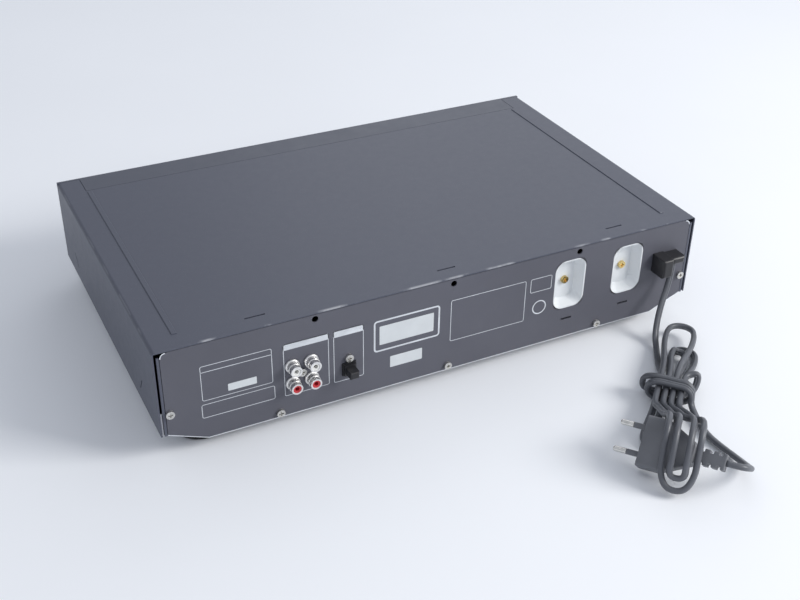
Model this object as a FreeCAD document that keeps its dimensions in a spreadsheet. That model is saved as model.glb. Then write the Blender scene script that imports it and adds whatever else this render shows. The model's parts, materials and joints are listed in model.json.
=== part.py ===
import FreeCAD, Part
import math
import os
import re

import Sketcher

# Minidisc deck, millimetres. Front faces -Y, rear faces +Y, +Z is up.
# Origin: centre of the deck's box in X and Y, at the bottom of the feet.

V = FreeCAD.Vector
X_AXIS = V(1, 0, 0)
Y_AXIS = V(0, 1, 0)
Z_AXIS = V(0, 0, 1)

# Driving sizes: alias, millimetres (or degrees for names that end in _angle), meaning

SIZES = [
    ("case_w", 430.0, "width over the cover"),
    ("case_d", 263.0, "depth of the cover"),
    ("side_h", 67.1, "height of the cover's sides"),
    ("bevel_rise", 11.2, "rise of the chassis bevel"),
    ("bevel_run", 31.0, "run of the chassis bevel"),
    ("sheet_t", 1.0, "steel sheet"),
    ("cover_r", 2.6, "bend radius of the cover's long edges"),
    ("foot_h", 9.8, "height of a foot"),
    ("foot_r", 20.0, "radius of a foot"),
    ("foot_in", 35.55, "foot from the case's edge"),
    ("foot_y", 103.0, "foot from the middle, front to rear"),
    ("foot_hole_r", 3.2, "screw well in a foot"),
    ("fascia_t", 3.6, "front panel wall"),
    ("fascia_reach", 4.0, "front panel ahead of the cover"),
    ("seam", 0.4, "gap between panels"),
    ("knob_reach", 15.0, "jog knob ahead of the front panel"),
    ("gland_reach", 15.0, "strain relief behind the rear panel"),
    ("strip_w", 394.0, "front panel's top strip"),
    ("strip_d", 21.5, "front panel's top strip"),
    ("strip_t", 2.0, "front panel's top strip"),
    ("bead_in", 20.0, "embossed bead from the case's edge"),
    ("bead_w", 3.8, "embossed bead"),
    ("bead_rise", 0.6, "embossed bead"),
    ("bead_end", 16.0, "bead end from the cover's rear edge"),
    ("slit_w", 14.5, "top slit"),
    ("slit_d", 1.4, "top slit"),
    ("slit_y", 13.5, "top slit from the rear edge"),
    ("slit_x", 144.3, "outer top slits from the middle one"),
    ("slit_mid_x", -3.6, "middle top slit"),
    ("hook_y", 88.5, "side hook slit from the middle"),
    ("hook_w", 1.3, "side hook slit"),
    ("hook_run", 6.8, "side hook slit"),
    ("hook_rise", 10.4, "side hook slit"),
    ("lip_w", 3.4, "cover's rear lip"),
    ("rear_r", 6.0, "rear panel's top corners"),
    ("rear_foot", 6.0, "chassis flange width"),
    ("jack_in", 101.0, "middle of the line jacks from the case's edge"),
    ("jack_z", 43.6, "middle of the line jacks"),
    ("jack_dx", 14.0, "jack spacing across"),
    ("jack_dz", 14.3, "jack spacing up"),
    ("jack_r", 4.15, "jack shell"),
    ("jack_core_r", 3.0, "jack insert"),
    ("jack_bore_r", 1.65, "jack bore"),
    ("jack_reach", 9.0, "jack beyond the rear panel"),
    ("jack_clear", 0.35, "hole round a jack"),
    ("optic_in", 136.2, "optical input from the case's edge"),
    ("optic_z", 35.7, "optical input"),
    ("optic_w", 10.4, "optical input face"),
    ("optic_port", 5.4, "optical port opening"),
    ("optic_tab", 6.7, "dust plug grip"),
    ("optic_reach", 11.0, "dust plug beyond the rear panel"),
    ("optic_screw_dz", 9.0, "optical screw above the port"),
    ("cup_w", 27.0, "recessed cup"),
    ("cup_h", 41.5, "recessed cup"),
    ("cup_depth", 8.0, "recessed cup"),
    ("cup_draft", 4.0, "slope of the cup's walls"),
    ("cup_t", 1.2, "wall of the cup"),
    ("cup_r", 9.0, "corner of the cup"),
    ("cup_z", 57.0, "cup"),
    ("cup_near_in", 112.4, "inner cup from the case's edge"),
    ("cup_far_in", 60.3, "outer cup from the case's edge"),
    ("vent_w", 9.4, "slot under a cup"),
    ("vent_h", 1.6, "slot under a cup"),
    ("vent_z", 26.4, "slot under a cup"),
    ("rivet_z", 83.2, "round hole near the top edge"),
    ("rivet_r", 2.4, "round hole near the top edge"),
    ("rivet_x", 106.0, "outer round holes from the middle one"),
    ("rivet_mid_x", -3.0, "middle round hole"),
    ("low_screw_z", 14.0, "rear panel's lower screws"),
    ("low_screw_x", 131.0, "outer lower screws"),
    ("side_screw_in", 7.4, "side screws from the case's edge"),
    ("side_screw_z", 38.2, "side screws at the rear"),
    ("screw_head_r", 3.0, "screw head"),
    ("screw_head_t", 2.0, "screw head"),
    ("screw_r", 1.45, "screw shank"),
    ("screw_l", 6.0, "screw shank"),
    ("cross_w", 0.9, "screw recess"),
    ("gland_in", 25.5, "strain relief from the case's edge"),
    ("gland_z", 56.5, "strain relief"),
    ("gland_w", 22.0, "strain relief"),
    ("gland_h", 15.5, "strain relief"),
    ("gland_split", 9.5, "width of the strain relief's body"),
    ("gland_neck", 2.0, "neck of the strain relief"),
    ("cord_r", 2.35, "round section as large as the flat cord's"),
    ("plug_w", 35.3, "plug across both pins"),
    ("plug_t", 13.7, "plug"),
    ("plug_flat", 15.0, "plug ahead of its taper"),
    ("plug_l", 35.0, "plug body"),
    ("plug_neck_w", 15.0, "plug at its relief"),
    ("plug_neck_t", 10.5, "plug at its relief"),
    ("relief_l", 21.0, "plug's strain relief"),
    ("relief_w", 11.0, "plug's strain relief"),
    ("relief_t", 7.0, "plug's strain relief"),
    ("pin_pitch", 18.8, "plug pins"),
    ("pin_r", 2.0, "plug pins"),
    ("pin_l", 19.0, "plug pins"),
    ("pin_sleeve", 9.5, "plug pins' sleeves"),
    ("slot_x", -70.0, "disc slot"),
    ("slot_w", 76.0, "disc slot"),
    ("slot_h", 8.6, "disc slot"),
    ("slot_z", 71.0, "disc slot"),
    ("door_t", 1.4, "slot door"),
    ("door_pin_r", 1.0, "slot door's pins"),
    ("door_drop", 2.0, "door beyond the slot"),
    ("pin_clear", 0.08, "running clearance"),
    ("window_x", 56.0, "display window"),
    ("window_w", 112.0, "display window"),
    ("window_h", 27.0, "display window"),
    ("window_z", 66.0, "display window"),
    ("window_t", 2.0, "display window"),
    ("rim", 2.5, "rebate round the window"),
    ("key_z", 36.0, "row of keys"),
    ("key_pitch", 22.0, "row of keys"),
    ("key_x", 0.0, "first key of the row"),
    ("key_w", 15.0, "key"),
    ("key_h", 7.0, "key"),
    ("key_reach", 1.8, "key beyond the panel"),
    ("key_clear", 0.3, "round a key"),
    ("key_flange", 1.4, "key flange"),
    ("key_travel", 0.8, "key travel"),
    ("edit_x", 130.0, "editing keys"),
    ("edit_w", 10.0, "editing key"),
    ("edit_dz", 13.0, "editing keys"),
    ("power_in", 25.0, "power key from the case's edge"),
    ("power_z", 71.0, "power key"),
    ("power_w", 18.0, "power key"),
    ("power_h", 9.0, "power key"),
    ("eject_x", -18.0, "eject key"),
    ("jog_in", 43.0, "jog knob from the case's edge"),
    ("jog_z", 62.0, "jog knob"),
    ("jog_r", 17.0, "jog knob"),
    ("level_in", 37.0, "record level knob from the case's edge"),
    ("level_z", 28.0, "record level knob"),
    ("level_r", 8.5, "record level knob"),
    ("level_reach", 10.0, "level knobs beyond the panel"),
    ("phones_in", 55.0, "headphone level knob from the case's edge"),
    ("phones_z", 31.0, "headphone level knob"),
    ("phones_r", 7.0, "headphone level knob"),
    ("socket_in", 25.0, "headphone socket from the case's edge"),
    ("socket_z", 31.0, "headphone socket"),
    ("socket_r", 3.2, "headphone socket"),
    ("socket_nut_r", 6.5, "headphone socket"),
    ("socket_l", 26.0, "headphone socket"),
    ("knob_gap", 0.8, "knob off the panel"),
    ("shaft_r", 3.0, "knob shafts"),
    ("board_gap", 10.0, "front board behind the panel"),
    ("board_t", 1.6, "circuit boards"),
    ("board_z", 22.0, "underside of the main board"),
    ("post_r", 3.0, "board post"),
    ("mech_z", 50.0, "disc mechanism's plate"),
    ("mech_w", 96.0, "disc mechanism"),
    ("mech_d", 122.0, "disc mechanism"),
    ("mech_y", 22.0, "mechanism's front edge behind the panel"),
    ("mech_wall_h", 24.0, "mechanism's walls"),
    ("mech_post_r", 4.0, "post under the mechanism"),
    ("mount_r", 6.5, "rubber mount"),
    ("mount_h", 6.0, "rubber mount"),
    ("disc_y", 42.0, "spindle behind the mechanism's front"),
    ("motor_r", 13.0, "spindle motor"),
    ("motor_h", 7.0, "spindle motor"),
    ("table_r", 9.0, "turntable"),
    ("table_z", 5.0, "turntable above the plate"),
    ("table_t", 3.0, "turntable"),
    ("spindle_r", 1.0, "spindle"),
    ("rod_r", 1.5, "guide rods"),
    ("rod_x", 20.0, "guide rods from the middle"),
    ("rod_z", 5.0, "guide rods above the plate"),
    ("rod_l", 44.0, "guide rods"),
    ("sled_d", 18.0, "pickup sled"),
    ("sled_h", 6.5, "pickup sled"),
    ("sled_travel", 22.0, "pickup sled"),
    ("lens_r", 2.6, "pickup lens"),
    ("worm_x", 28.0, "sled's lead screw from the middle"),
    ("worm_r", 1.4, "sled's lead screw"),
    ("holder_w", 76.0, "disc holder"),
    ("holder_d", 70.0, "disc holder"),
    ("holder_h", 7.6, "disc holder"),
    ("holder_t", 0.8, "disc holder's sheet"),
    ("holder_drop", 6.0, "disc holder's travel"),
    ("slider_travel", 18.0, "loading slider's travel"),
    ("slider_t", 1.2, "loading slider"),
    ("follower_r", 1.5, "holder's side pins"),
    ("pinion_r", 6.0, "loading pinion's pitch circle"),
    ("pinion_t", 4.0, "loading pinion"),
    ("tooth", 1.0, "tooth module"),
    ("core_in", 65.0, "transformer from the case's edge"),
    ("core_y", 72.0, "transformer"),
    ("core_w", 52.0, "transformer"),
    ("core_d", 44.0, "transformer"),
    ("core_h", 44.0, "transformer"),
    ("coil_w", 33.0, "transformer's coil"),
    ("coil_d", 58.0, "transformer's coil"),
]

# Places worked out from the sizes

PLACES = {
    "rear_y": "(case_d + fascia_reach + knob_reach + gland_reach)/2 - gland_reach",
    "case_y": "rear_y - case_d",
    "face_y": "case_y - fascia_reach",
    "back_y": "face_y + fascia_t",
    "floor_z": "foot_h",
    "deck_z": "floor_z + sheet_t",
    "side_z": "foot_h + bevel_rise",
    "top_z": "side_z + side_h",
    "under_z": "top_z - sheet_t",
    "edge_x": "case_w/2",
    "foot_x": "edge_x - foot_in",
    "bead_x": "edge_x - bead_in",
    "side_screw_x": "edge_x - side_screw_in",
    "jack_x": "edge_x - jack_in",
    "optic_x": "edge_x - optic_in",
    "cup_near_x": "cup_near_in - edge_x",
    "cup_far_x": "cup_far_in - edge_x",
    "gland_x": "gland_in - edge_x",
    "power_x": "power_in - edge_x",
    "socket_x": "socket_in - edge_x",
    "phones_x": "phones_in - edge_x",
    "level_x": "edge_x - level_in",
    "jog_x": "edge_x - jog_in",
    "core_x": "core_in - edge_x",
    "wall_x": "edge_x - sheet_t",
    "pan_x": "wall_x - seam",
    "flat_x": "pan_x - bevel_run",
    "board_y": "back_y + board_gap",
    "mech_y0": "back_y + mech_y",
    "mech_y1": "mech_y0 + mech_d",
    "plate_z": "mech_z + sheet_t",
    "spin_y": "mech_y0 + disc_y",
    "sled_y": "spin_y + table_r + 8",
    "rod_level": "plate_z + rod_z",
    "lid_z": "slot_z + holder_h/2",
    "cup_y": "rear_y - cup_depth",
    "inner_y": "rear_y - sheet_t",
    "slider_x": "slot_x + mech_w/2 + 0.3",
}

document = FreeCAD.newDocument("MinidiscDeck")
sheet = document.addObject("Spreadsheet::Sheet", "Dims")
for row, (alias, number, meaning) in enumerate(SIZES, start=1):
    sheet.set(f"A{row}", alias)
    sheet.set(f"B{row}", str(number))
    sheet.set(f"C{row}", meaning)
    sheet.setAlias(f"B{row}", alias)
document.recompute()

SIZE_NAMES = {alias for alias, _, _ in SIZES}
SUB_PARTS = []


def size(alias):
    return float(sheet.get(alias))


def bound(text):
    # An expression on the sheet, with each place written out.
    def word(match):
        name = match.group(0)
        if name in PLACES:
            return f"({bound(PLACES[name])})"
        if name in SIZE_NAMES:
            return f"Dims.{name}"
        return name
    return re.sub(r"[a-z][a-z0-9_]*", word, str(text))


def keep(item, name):
    item.Label = name
    SUB_PARTS.append(item)
    return item


def place(item, x, y, z):
    for axis, text in zip("xyz", (x, y, z)):
        item.setExpression(f"Placement.Base.{axis}", bound(text))


# Part primitives bound to the sheet

def block(name, x0, x1, y0, y1, z0, z1):
    item = document.addObject("Part::Box", name)
    item.setExpression("Length", bound(f"({x1}) - ({x0})"))
    item.setExpression("Width", bound(f"({y1}) - ({y0})"))
    item.setExpression("Height", bound(f"({z1}) - ({z0})"))
    place(item, x0, y0, z0)
    return item


def rod(name, axis, radius, length, x, y, z):
    item = document.addObject("Part::Cylinder", name)
    item.setExpression("Radius", bound(radius))
    item.setExpression("Height", bound(length))
    item.Placement.Rotation = FreeCAD.Rotation(Z_AXIS, axis)
    place(item, x, y, z)
    return item


def join(name, pieces):
    item = document.addObject("Part::MultiFuse", name)
    item.Shapes = pieces
    item.Refine = True
    return item


def together(name, pieces):
    item = document.addObject("Part::Compound", name)
    item.Links = pieces
    return item


def cut(name, base, tools):
    item = document.addObject("Part::Cut", name)
    item.Base = base
    item.Tool = tools[0] if len(tools) == 1 else join(f"{name}_tools", tools)
    return item


# PartDesign bodies bound to the sheet

class Maker:
    def __init__(self, name):
        self.name = name
        self.count = 0
        self.body = document.addObject("PartDesign::Body", name)

    def sketch(self, role, offset, shift=("0", "0")):
        self.count += 1
        item = self.body.newObject("Sketcher::SketchObject", f"{self.name}_sketch{self.count}")
        origin = [p for p in self.body.Origin.OriginFeatures if p.Role == role][0]
        item.AttachmentSupport = [(origin, "")]
        item.MapMode = "FlatFace"
        item.setExpression("AttachmentOffset.Base.x", bound(shift[0]))
        item.setExpression("AttachmentOffset.Base.y", bound(shift[1]))
        item.setExpression("AttachmentOffset.Base.z", bound(offset))
        return item

    def feature(self, kind, sketch):
        self.count += 1
        item = self.body.newObject(f"PartDesign::{kind}", f"{self.name}_{kind}{self.count}")
        item.Profile = sketch
        return item

    def prism(self, kind, role, low, high, *outlines):
        sign = "-" if role == "XZ_Plane" else ""
        sketch = self.sketch(role, f"{sign}(({low}) + ({high}))/2")
        for outline in outlines:
            outline(sketch)
        item = self.feature(kind, sketch)
        item.SideType = "Symmetric"
        item.setExpression("Length", bound(f"({high}) - ({low})"))
        document.recompute()
        return item

    def pad(self, role, low, high, *outlines):
        return self.prism("Pad", role, low, high, *outlines)

    def pocket(self, role, low, high, *outlines):
        before = self.body.Shape.Volume
        item = self.prism("Pocket", role, low, high, *outlines)
        if self.body.Shape.Volume >= before:
            raise RuntimeError(f"{item.Name} cuts nothing")
        return item

    def turn(self, kind, x, z, points):
        # A profile of (y, radius) points turned about a line along Y at x, z.
        sketch = self.sketch("YZ_Plane", x, ("0", z))
        polygon(points)(sketch)
        item = self.feature(kind, sketch)
        item.ReferenceAxis = (sketch, ["H_Axis"])
        item.Angle = 360
        document.recompute()
        return item

    def spin(self, x, y, points):
        # A profile of (radius, z) points turned about a line along Z at x, y.
        sketch = self.sketch("XZ_Plane", f"-({y})", (x, "0"))
        polygon(points)(sketch)
        item = self.feature("Revolution", sketch)
        item.ReferenceAxis = (sketch, ["V_Axis"])
        item.Angle = 360
        document.recompute()
        return item

    def soften(self, kind, amount, test):
        base = self.body.Tip
        edges = [f"Edge{i}" for i, e in enumerate(base.Shape.Edges, start=1) if test(e)]
        if not edges:
            raise RuntimeError(f"{self.name}: no edge to soften")
        self.count += 1
        item = self.body.newObject(f"PartDesign::{kind}", f"{self.name}_{kind}{self.count}")
        item.Base = (base, edges)
        item.setExpression("Radius" if kind == "Fillet" else "Size", bound(amount))
        document.recompute()
        return item

    def done(self):
        return keep(self.body, self.name)


def polygon(points):
    def draw(sketch):
        first = sketch.GeometryCount
        total = len(points)
        for k in range(total):
            turn = 2 * math.pi * k / total
            step = 2 * math.pi * (k + 1) / total
            sketch.addGeometry(Part.LineSegment(V(math.cos(turn), math.sin(turn), 0),
                                                V(math.cos(step), math.sin(step), 0)), False)
        for k in range(total):
            joint = Sketcher.Constraint("Coincident", first + k, 2, first + (k + 1) % total, 1)
            sketch.addConstraint(joint)
        for k, (across, up) in enumerate(points):
            pin(sketch, first + k, 1, across, up)
    return draw


def circle(across, up, radius):
    def draw(sketch):
        ring = sketch.addGeometry(Part.Circle(V(0, 0, 0), Z_AXIS, 1), False)
        index = sketch.addConstraint(Sketcher.Constraint("Radius", ring, 1.0))
        sketch.setExpression(f"Constraints[{index}]", bound(radius))
        pin(sketch, ring, 3, across, up)
    return draw


def pin(sketch, geometry, point, across, up):
    for kind, text in (("DistanceX", across), ("DistanceY", up)):
        index = sketch.addConstraint(Sketcher.Constraint(kind, -1, 1, geometry, point, 1.0))
        sketch.setExpression(f"Constraints[{index}]", bound(text))


def rect(x0, x1, z0, z1):
    return polygon([(x0, z0), (x1, z0), (x1, z1), (x0, z1)])


def centred(x, z, width, height):
    return rect(f"({x}) - ({width})/2", f"({x}) + ({width})/2",
                f"({z}) - ({height})/2", f"({z}) + ({height})/2")


def along(edge, axis):
    if len(edge.Vertexes) != 2:
        return False
    run = edge.Vertexes[1].Point - edge.Vertexes[0].Point
    return run.Length > 1e-6 and abs(abs(run.normalize().dot(axis)) - 1) < 1e-6


def middle(edge):
    return edge.CenterOfMass


# Enclosure

def top_cover():
    part = Maker("top_cover")
    shell = [("-edge_x", "side_z"), ("-edge_x", "top_z"), ("edge_x", "top_z"),
             ("edge_x", "side_z"), ("wall_x", "side_z"), ("wall_x", "under_z"),
             ("-wall_x", "under_z"), ("-wall_x", "side_z")]
    part.pad("XZ_Plane", "case_y", "rear_y", polygon(shell))
    high = size("foot_h") + size("bevel_rise") + size("side_h")
    part.soften("Fillet", "cover_r", lambda e: along(e, Y_AXIS) and middle(e).z > high - 0.1
                and abs(middle(e).x) > size("case_w") / 2 - 0.1)
    for side in ("-", ""):
        ends = sorted_pair(f"{side}(wall_x - lip_w)", f"{side}(edge_x - cover_r)", side)
        part.pad("XZ_Plane", "inner_y", "rear_y", rect(*ends, "side_z", "under_z - lip_w"))
    for side in ("-", ""):
        part.pad("XY_Plane", "top_z - sheet_t/2", "top_z + bead_rise",
                 rect(f"{side}bead_x - bead_w/2", f"{side}bead_x + bead_w/2",
                      "case_y + strip_d + 3", "rear_y - bead_end"))
    part.soften("Chamfer", "bead_rise*0.6", lambda e: middle(e).z > high + size("bead_rise") - 0.01)
    part.pocket("XY_Plane", "under_z - 1", "top_z + 1",
                rect("-strip_w/2 - seam", "strip_w/2 + seam", "case_y - 1", "case_y + strip_d + seam"))
    part.pocket("XY_Plane", "under_z - 1", "top_z + 1",
                *[centred(f"slit_mid_x + ({k})*slit_x", "rear_y - slit_y", "slit_w", "slit_d")
                  for k in (-1, 0, 1)])
    hooks = []
    for side, sign in (("-", 1), ("", -1)):
        near = f"{side}hook_y"
        low = "side_z + 11.5"
        hooks.append(polygon([
            (near, low), (f"{near} + hook_w", low),
            (f"{near} + hook_w - ({sign})*hook_run", f"{low} + hook_rise"),
            (f"{near} - ({sign})*hook_run", f"{low} + hook_rise")]))
    part.pocket("YZ_Plane", "-edge_x - 1", "edge_x + 1", *hooks)
    return part.done()


def sorted_pair(first, second, side):
    return (second, first) if side else (first, second)


def bottom_chassis():
    part = Maker("bottom_chassis")
    outer = [("pan_x", "side_z + 18"), ("pan_x", "side_z"), ("flat_x", "floor_z"),
             ("-flat_x", "floor_z"), ("-pan_x", "side_z"), ("-pan_x", "side_z + 18")]
    inner = [("-pan_x + sheet_t", "side_z + 18"), ("-pan_x + sheet_t", "side_z + sheet_t*0.7"),
             ("-flat_x + sheet_t*0.2", "deck_z"), ("flat_x - sheet_t*0.2", "deck_z"),
             ("pan_x - sheet_t", "side_z + sheet_t*0.7"), ("pan_x - sheet_t", "side_z + 18")]
    part.pad("XZ_Plane", "back_y + 2*seam", "inner_y - seam", polygon(outer + inner))
    part.pad("XZ_Plane", "inner_y - seam - sheet_t", "inner_y - seam",
             rect("-flat_x", "flat_x", "floor_z", "deck_z + rear_foot"))
    part.pad("XZ_Plane", "back_y + 2*seam", "back_y + 2*seam + sheet_t",
             rect("-flat_x", "flat_x", "floor_z", "deck_z + rear_foot"))
    part.pocket("XZ_Plane", "inner_y - 4", "inner_y",
                *[circle(f"({k})*low_screw_x", "low_screw_z", "screw_r + 0.05") for k in (-1, 0, 1)])
    part.pocket("XY_Plane", "floor_z - 1", "deck_z + 1",
                *[circle(x, y, "screw_r + 0.05") for x, y in FOOT_PLACES])
    return part.done()


def rear_panel():
    part = Maker("rear_panel")
    lip = "lip_w + seam"
    outline = [("-flat_x", "floor_z"), ("flat_x", "floor_z"),
               (f"wall_x - ({lip})", "side_z"), (f"wall_x - ({lip})", "under_z - seam"),
               (f"-wall_x + {lip}", "under_z - seam"), (f"-wall_x + {lip}", "side_z")]
    part.pad("XZ_Plane", "inner_y", "rear_y", polygon(outline))
    high = size("foot_h") + size("bevel_rise") + size("side_h") - size("sheet_t") - size("seam")
    part.soften("Fillet", "rear_r", lambda e: along(e, Y_AXIS) and middle(e).z > high - 0.1)
    part.pocket("XZ_Plane", "inner_y - 1", "rear_y + 1",
                *[circle(f"jack_x + ({i})*jack_dx/2", f"jack_z + ({j})*jack_dz/2",
                         "jack_r + jack_clear") for i in (-1, 1) for j in (-1, 1)],
                circle("jack_x", "jack_z", "screw_r + 0.05"),
                circle("optic_x", "optic_z + optic_screw_dz", "screw_r + 0.05"),
                centred("optic_x", "optic_z", "optic_w + 0.4", "optic_w + 0.4"),
                *[circle(f"rivet_mid_x + ({k})*rivet_x", "rivet_z", "rivet_r") for k in (-1, 0, 1)],
                *[circle(f"({k})*low_screw_x", "low_screw_z", "screw_r + 0.05") for k in (-1, 0, 1)],
                *[circle(f"({k})*side_screw_x", "side_screw_z", "screw_r + 0.05") for k in (-1, 1)],
                *[centred(f"{cup} + 0.2", "vent_z", "vent_w", "vent_h")
                  for cup in ("cup_near_x", "cup_far_x")],
                centred("gland_x", "gland_z", "gland_w - 2*gland_neck", "gland_h - 2*gland_neck"))
    part.pocket("XZ_Plane", "inner_y - 1", "rear_y + 1",
                *[centred(cup, "cup_z", "cup_w", "cup_h") for cup in ("cup_near_x", "cup_far_x")])
    mid = size("cup_z")
    half = size("cup_h") / 2
    edge = size("case_w") / 2
    left = size("cup_far_in") - edge - size("cup_w") / 2
    right = size("cup_near_in") - edge + size("cup_w") / 2
    part.soften("Fillet", "cup_r", lambda e: along(e, Y_AXIS)
                and left - 0.1 < middle(e).x < right + 0.1
                and abs(abs(middle(e).z - mid) - half) < 0.1)
    return part.done()


def front_panel():
    part = Maker("front_panel")
    outline = [("-flat_x", "floor_z"), ("flat_x", "floor_z"), ("edge_x", "side_z"),
               ("edge_x", "top_z"), ("-edge_x", "top_z"), ("-edge_x", "side_z")]
    part.pad("XZ_Plane", "face_y", "back_y", polygon(outline))
    part.soften("Chamfer", "fascia_t*0.35", lambda e: abs(middle(e).y - front_y()) < 0.01)
    part.pad("XY_Plane", "top_z - strip_t", "top_z",
             rect("-strip_w/2", "strip_w/2", "back_y - 0.5", "case_y + strip_d"))
    holes = [centred("slot_x", "slot_z", "slot_w", "slot_h"),
             centred("window_x", "window_z", "window_w - 2*rim", "window_h - 2*rim"),
             circle("jog_x", "jog_z", "shaft_r + 1.2"),
             circle("level_x", "level_z", "shaft_r + 1.2"),
             circle("phones_x", "phones_z", "shaft_r + 1.2"),
             circle("socket_x", "socket_z", "socket_nut_r - 2 + 0.1")]
    holes += [centred(x, z, f"{w} + 2*key_clear", f"{h} + 2*key_clear") for _, x, z, w, h in KEYS]
    part.pocket("XZ_Plane", "face_y - 1", "back_y + 1", *holes)
    part.pocket("XZ_Plane", "face_y - 1", "face_y + window_t",
                centred("window_x", "window_z", "window_w + 0.2", "window_h + 0.2"))
    part.pad("XZ_Plane", "back_y - 0.5", "back_y + 6",
             rect("slot_x - slot_w/2 - 4.2", "slot_x - slot_w/2 - 1.2", "door_axis_z - 3",
                  "door_axis_z + 2.4"),
             rect("slot_x + slot_w/2 + 1.2", "slot_x + slot_w/2 + 4.2", "door_axis_z - 3",
                  "door_axis_z + 2.4"))
    part.pocket("YZ_Plane", "slot_x - slot_w/2 - 5", "slot_x + slot_w/2 + 5",
                circle("door_axis_y", "door_axis_z", "door_pin_r + pin_clear/2"))
    return part.done()


def front_y():
    total = size("case_d") + size("fascia_reach") + size("knob_reach") + size("gland_reach")
    return total / 2 - size("gland_reach") - size("case_d") - size("fascia_reach")


PLACES["door_axis_y"] = "back_y + 0.5 + door_t + door_pin_r"
PLACES["door_axis_z"] = "slot_z + slot_h/2 + 3.4"


def slot_door():
    part = Maker("slot_door")
    low = "slot_z - slot_h/2 - door_drop"
    part.pad("YZ_Plane", "slot_x - slot_w/2 - 0.6", "slot_x + slot_w/2 + 0.6",
             rect("back_y + 0.5", "back_y + 0.5 + door_t", low, "door_axis_z + door_pin_r"))
    part.pad("YZ_Plane", "slot_x - slot_w/2 - 4", "slot_x + slot_w/2 + 4",
             circle("door_axis_y", "door_axis_z", "door_pin_r"))
    part.pad("YZ_Plane", "slot_x - slot_w/2 - 0.6", "slot_x + slot_w/2 + 0.6",
             rect("back_y + 0.5", "door_axis_y", "door_axis_z - door_pin_r", "door_axis_z + door_pin_r"))
    return part.done()


def display_window():
    part = Maker("display_window")
    part.pad("XZ_Plane", "face_y + 0.2", "face_y + window_t",
             centred("window_x", "window_z", "window_w", "window_h"))
    return part.done()


# Keys: node name, middle across and up, width, height

ROW_KEYS = ["rewind_button", "forward_button", "play_button", "pause_button", "stop_button",
            "record_button"]
KEYS = [(name, f"key_x + {k}*key_pitch", "key_z", "key_w", "key_h")
        for k, name in enumerate(ROW_KEYS)]
KEYS += [("no_button", "edit_x", "window_z + edit_dz/2", "edit_w", "key_h"),
         ("yes_button", "edit_x", "window_z - edit_dz/2", "edit_w", "key_h"),
         ("power_button", "power_x", "power_z", "power_w", "power_h"),
         ("eject_button", "eject_x", "slot_z", "key_w", "key_h")]


def button(name, x, z, width, height):
    part = Maker(name)
    part.pad("XZ_Plane", "face_y - key_reach", "back_y + 0.2", centred(x, z, width, height))
    reach = front_y() - size("key_reach")
    part.soften("Fillet", "key_reach*0.45", lambda e: abs(middle(e).y - reach) < 0.01)
    part.pad("XZ_Plane", "back_y + 0.2", "back_y + 1.4",
             centred(x, z, f"{width} + 2*key_flange", f"{height} + 2*key_flange"))
    part.pad("XZ_Plane", "back_y + 1", "board_y - 2.6", centred(x, z, "4", "4"))
    return part.done()


def front_board():
    part = Maker("front_board")
    part.pad("XZ_Plane", "board_y", "board_y + board_t", polygon([
        ("-edge_x + 14", "deck_z + 8"), ("edge_x - 14", "deck_z + 8"),
        ("edge_x - 14", "top_z - 6"), ("slot_x + slot_w/2 + 8", "top_z - 6"),
        ("slot_x + slot_w/2 + 8", "slot_z - slot_h/2 - 12"),
        ("slot_x - slot_w/2 - 8", "slot_z - slot_h/2 - 12"),
        ("slot_x - slot_w/2 - 8", "top_z - 6"), ("-edge_x + 14", "top_z - 6")]))
    for low, high in (("jog_x", "jog_z"), ("level_x", "level_z"), ("phones_x", "phones_z")):
        part.pocket("XZ_Plane", "board_y - 1", "board_y + board_t + 1",
                    circle(low, high, "shaft_r + 1"))
    part.pocket("XZ_Plane", "board_y - 1", "board_y + board_t + 1",
                circle("socket_x", "socket_z", "socket_nut_r + 1.4"))
    return part.done()


def board_parts():
    pieces = [block(f"switch_{name}", f"{x} - 3", f"{x} + 3", "board_y - 1.4", "board_y",
                      f"{z} - 3", f"{z} + 3") for name, x, z, _, _ in KEYS]
    pieces += potentiometers()
    pieces.append(jog_encoder())
    keep(together("front_pieces", pieces), "front_components")


def display_tube():
    part = Maker("display_tube")
    part.pad("XZ_Plane", "back_y + 1.2", "board_y",
             centred("window_x", "window_z", "window_w - 4*rim", "window_h - 1.2*rim"))
    return part.done()


def potentiometers():
    cans = []
    for name, x, z in (("level", "level_x", "level_z"), ("phones", "phones_x", "phones_z")):
        body = block(f"{name}_can", f"{x} - 6", f"{x} + 6", "back_y + 0.1", "board_y", f"{z} - 6",
                     f"{z} + 6")
        bore = rod(f"{name}_bore", Y_AXIS, "shaft_r + pin_clear/2", "30", x, "back_y - 5", z)
        cans.append(cut(f"{name}_pot", body, [bore]))
    return cans


def level_knob(name, x, z, radius, reach):
    part = Maker(name)
    part.turn("Revolution", x, z, [
        ("board_y - 0.6", "0"), (f"face_y - {reach} + 1.2", "0"),
        (f"face_y - {reach}", f"{radius}*0.55"), (f"face_y - {reach}", f"{radius} - 0.8"),
        (f"face_y - {reach} + 0.8", radius), ("face_y - knob_gap", f"{radius} + 0.3"),
        ("face_y - knob_gap", "shaft_r"), ("board_y - 0.6", "shaft_r")])
    part.pocket("XY_Plane", f"{z} + ({radius})*0.55", f"{z} + ({radius}) + 2",
                rect(f"{x} - 0.5", f"{x} + 0.5", f"face_y - {reach} - 1", f"face_y - {reach} + 3.5"))
    return part.done()


def jog_encoder():
    body = block("encoder_can", "jog_x - 7", "jog_x + 7", "back_y + 0.1", "board_y - 0.1",
                 "jog_z - 7", "jog_z + 7")
    bore = rod("encoder_bore", Y_AXIS, "shaft_r + 1.6", "30", "jog_x", "back_y - 5", "jog_z")
    return cut("encoder_cut", body, [bore])


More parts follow.
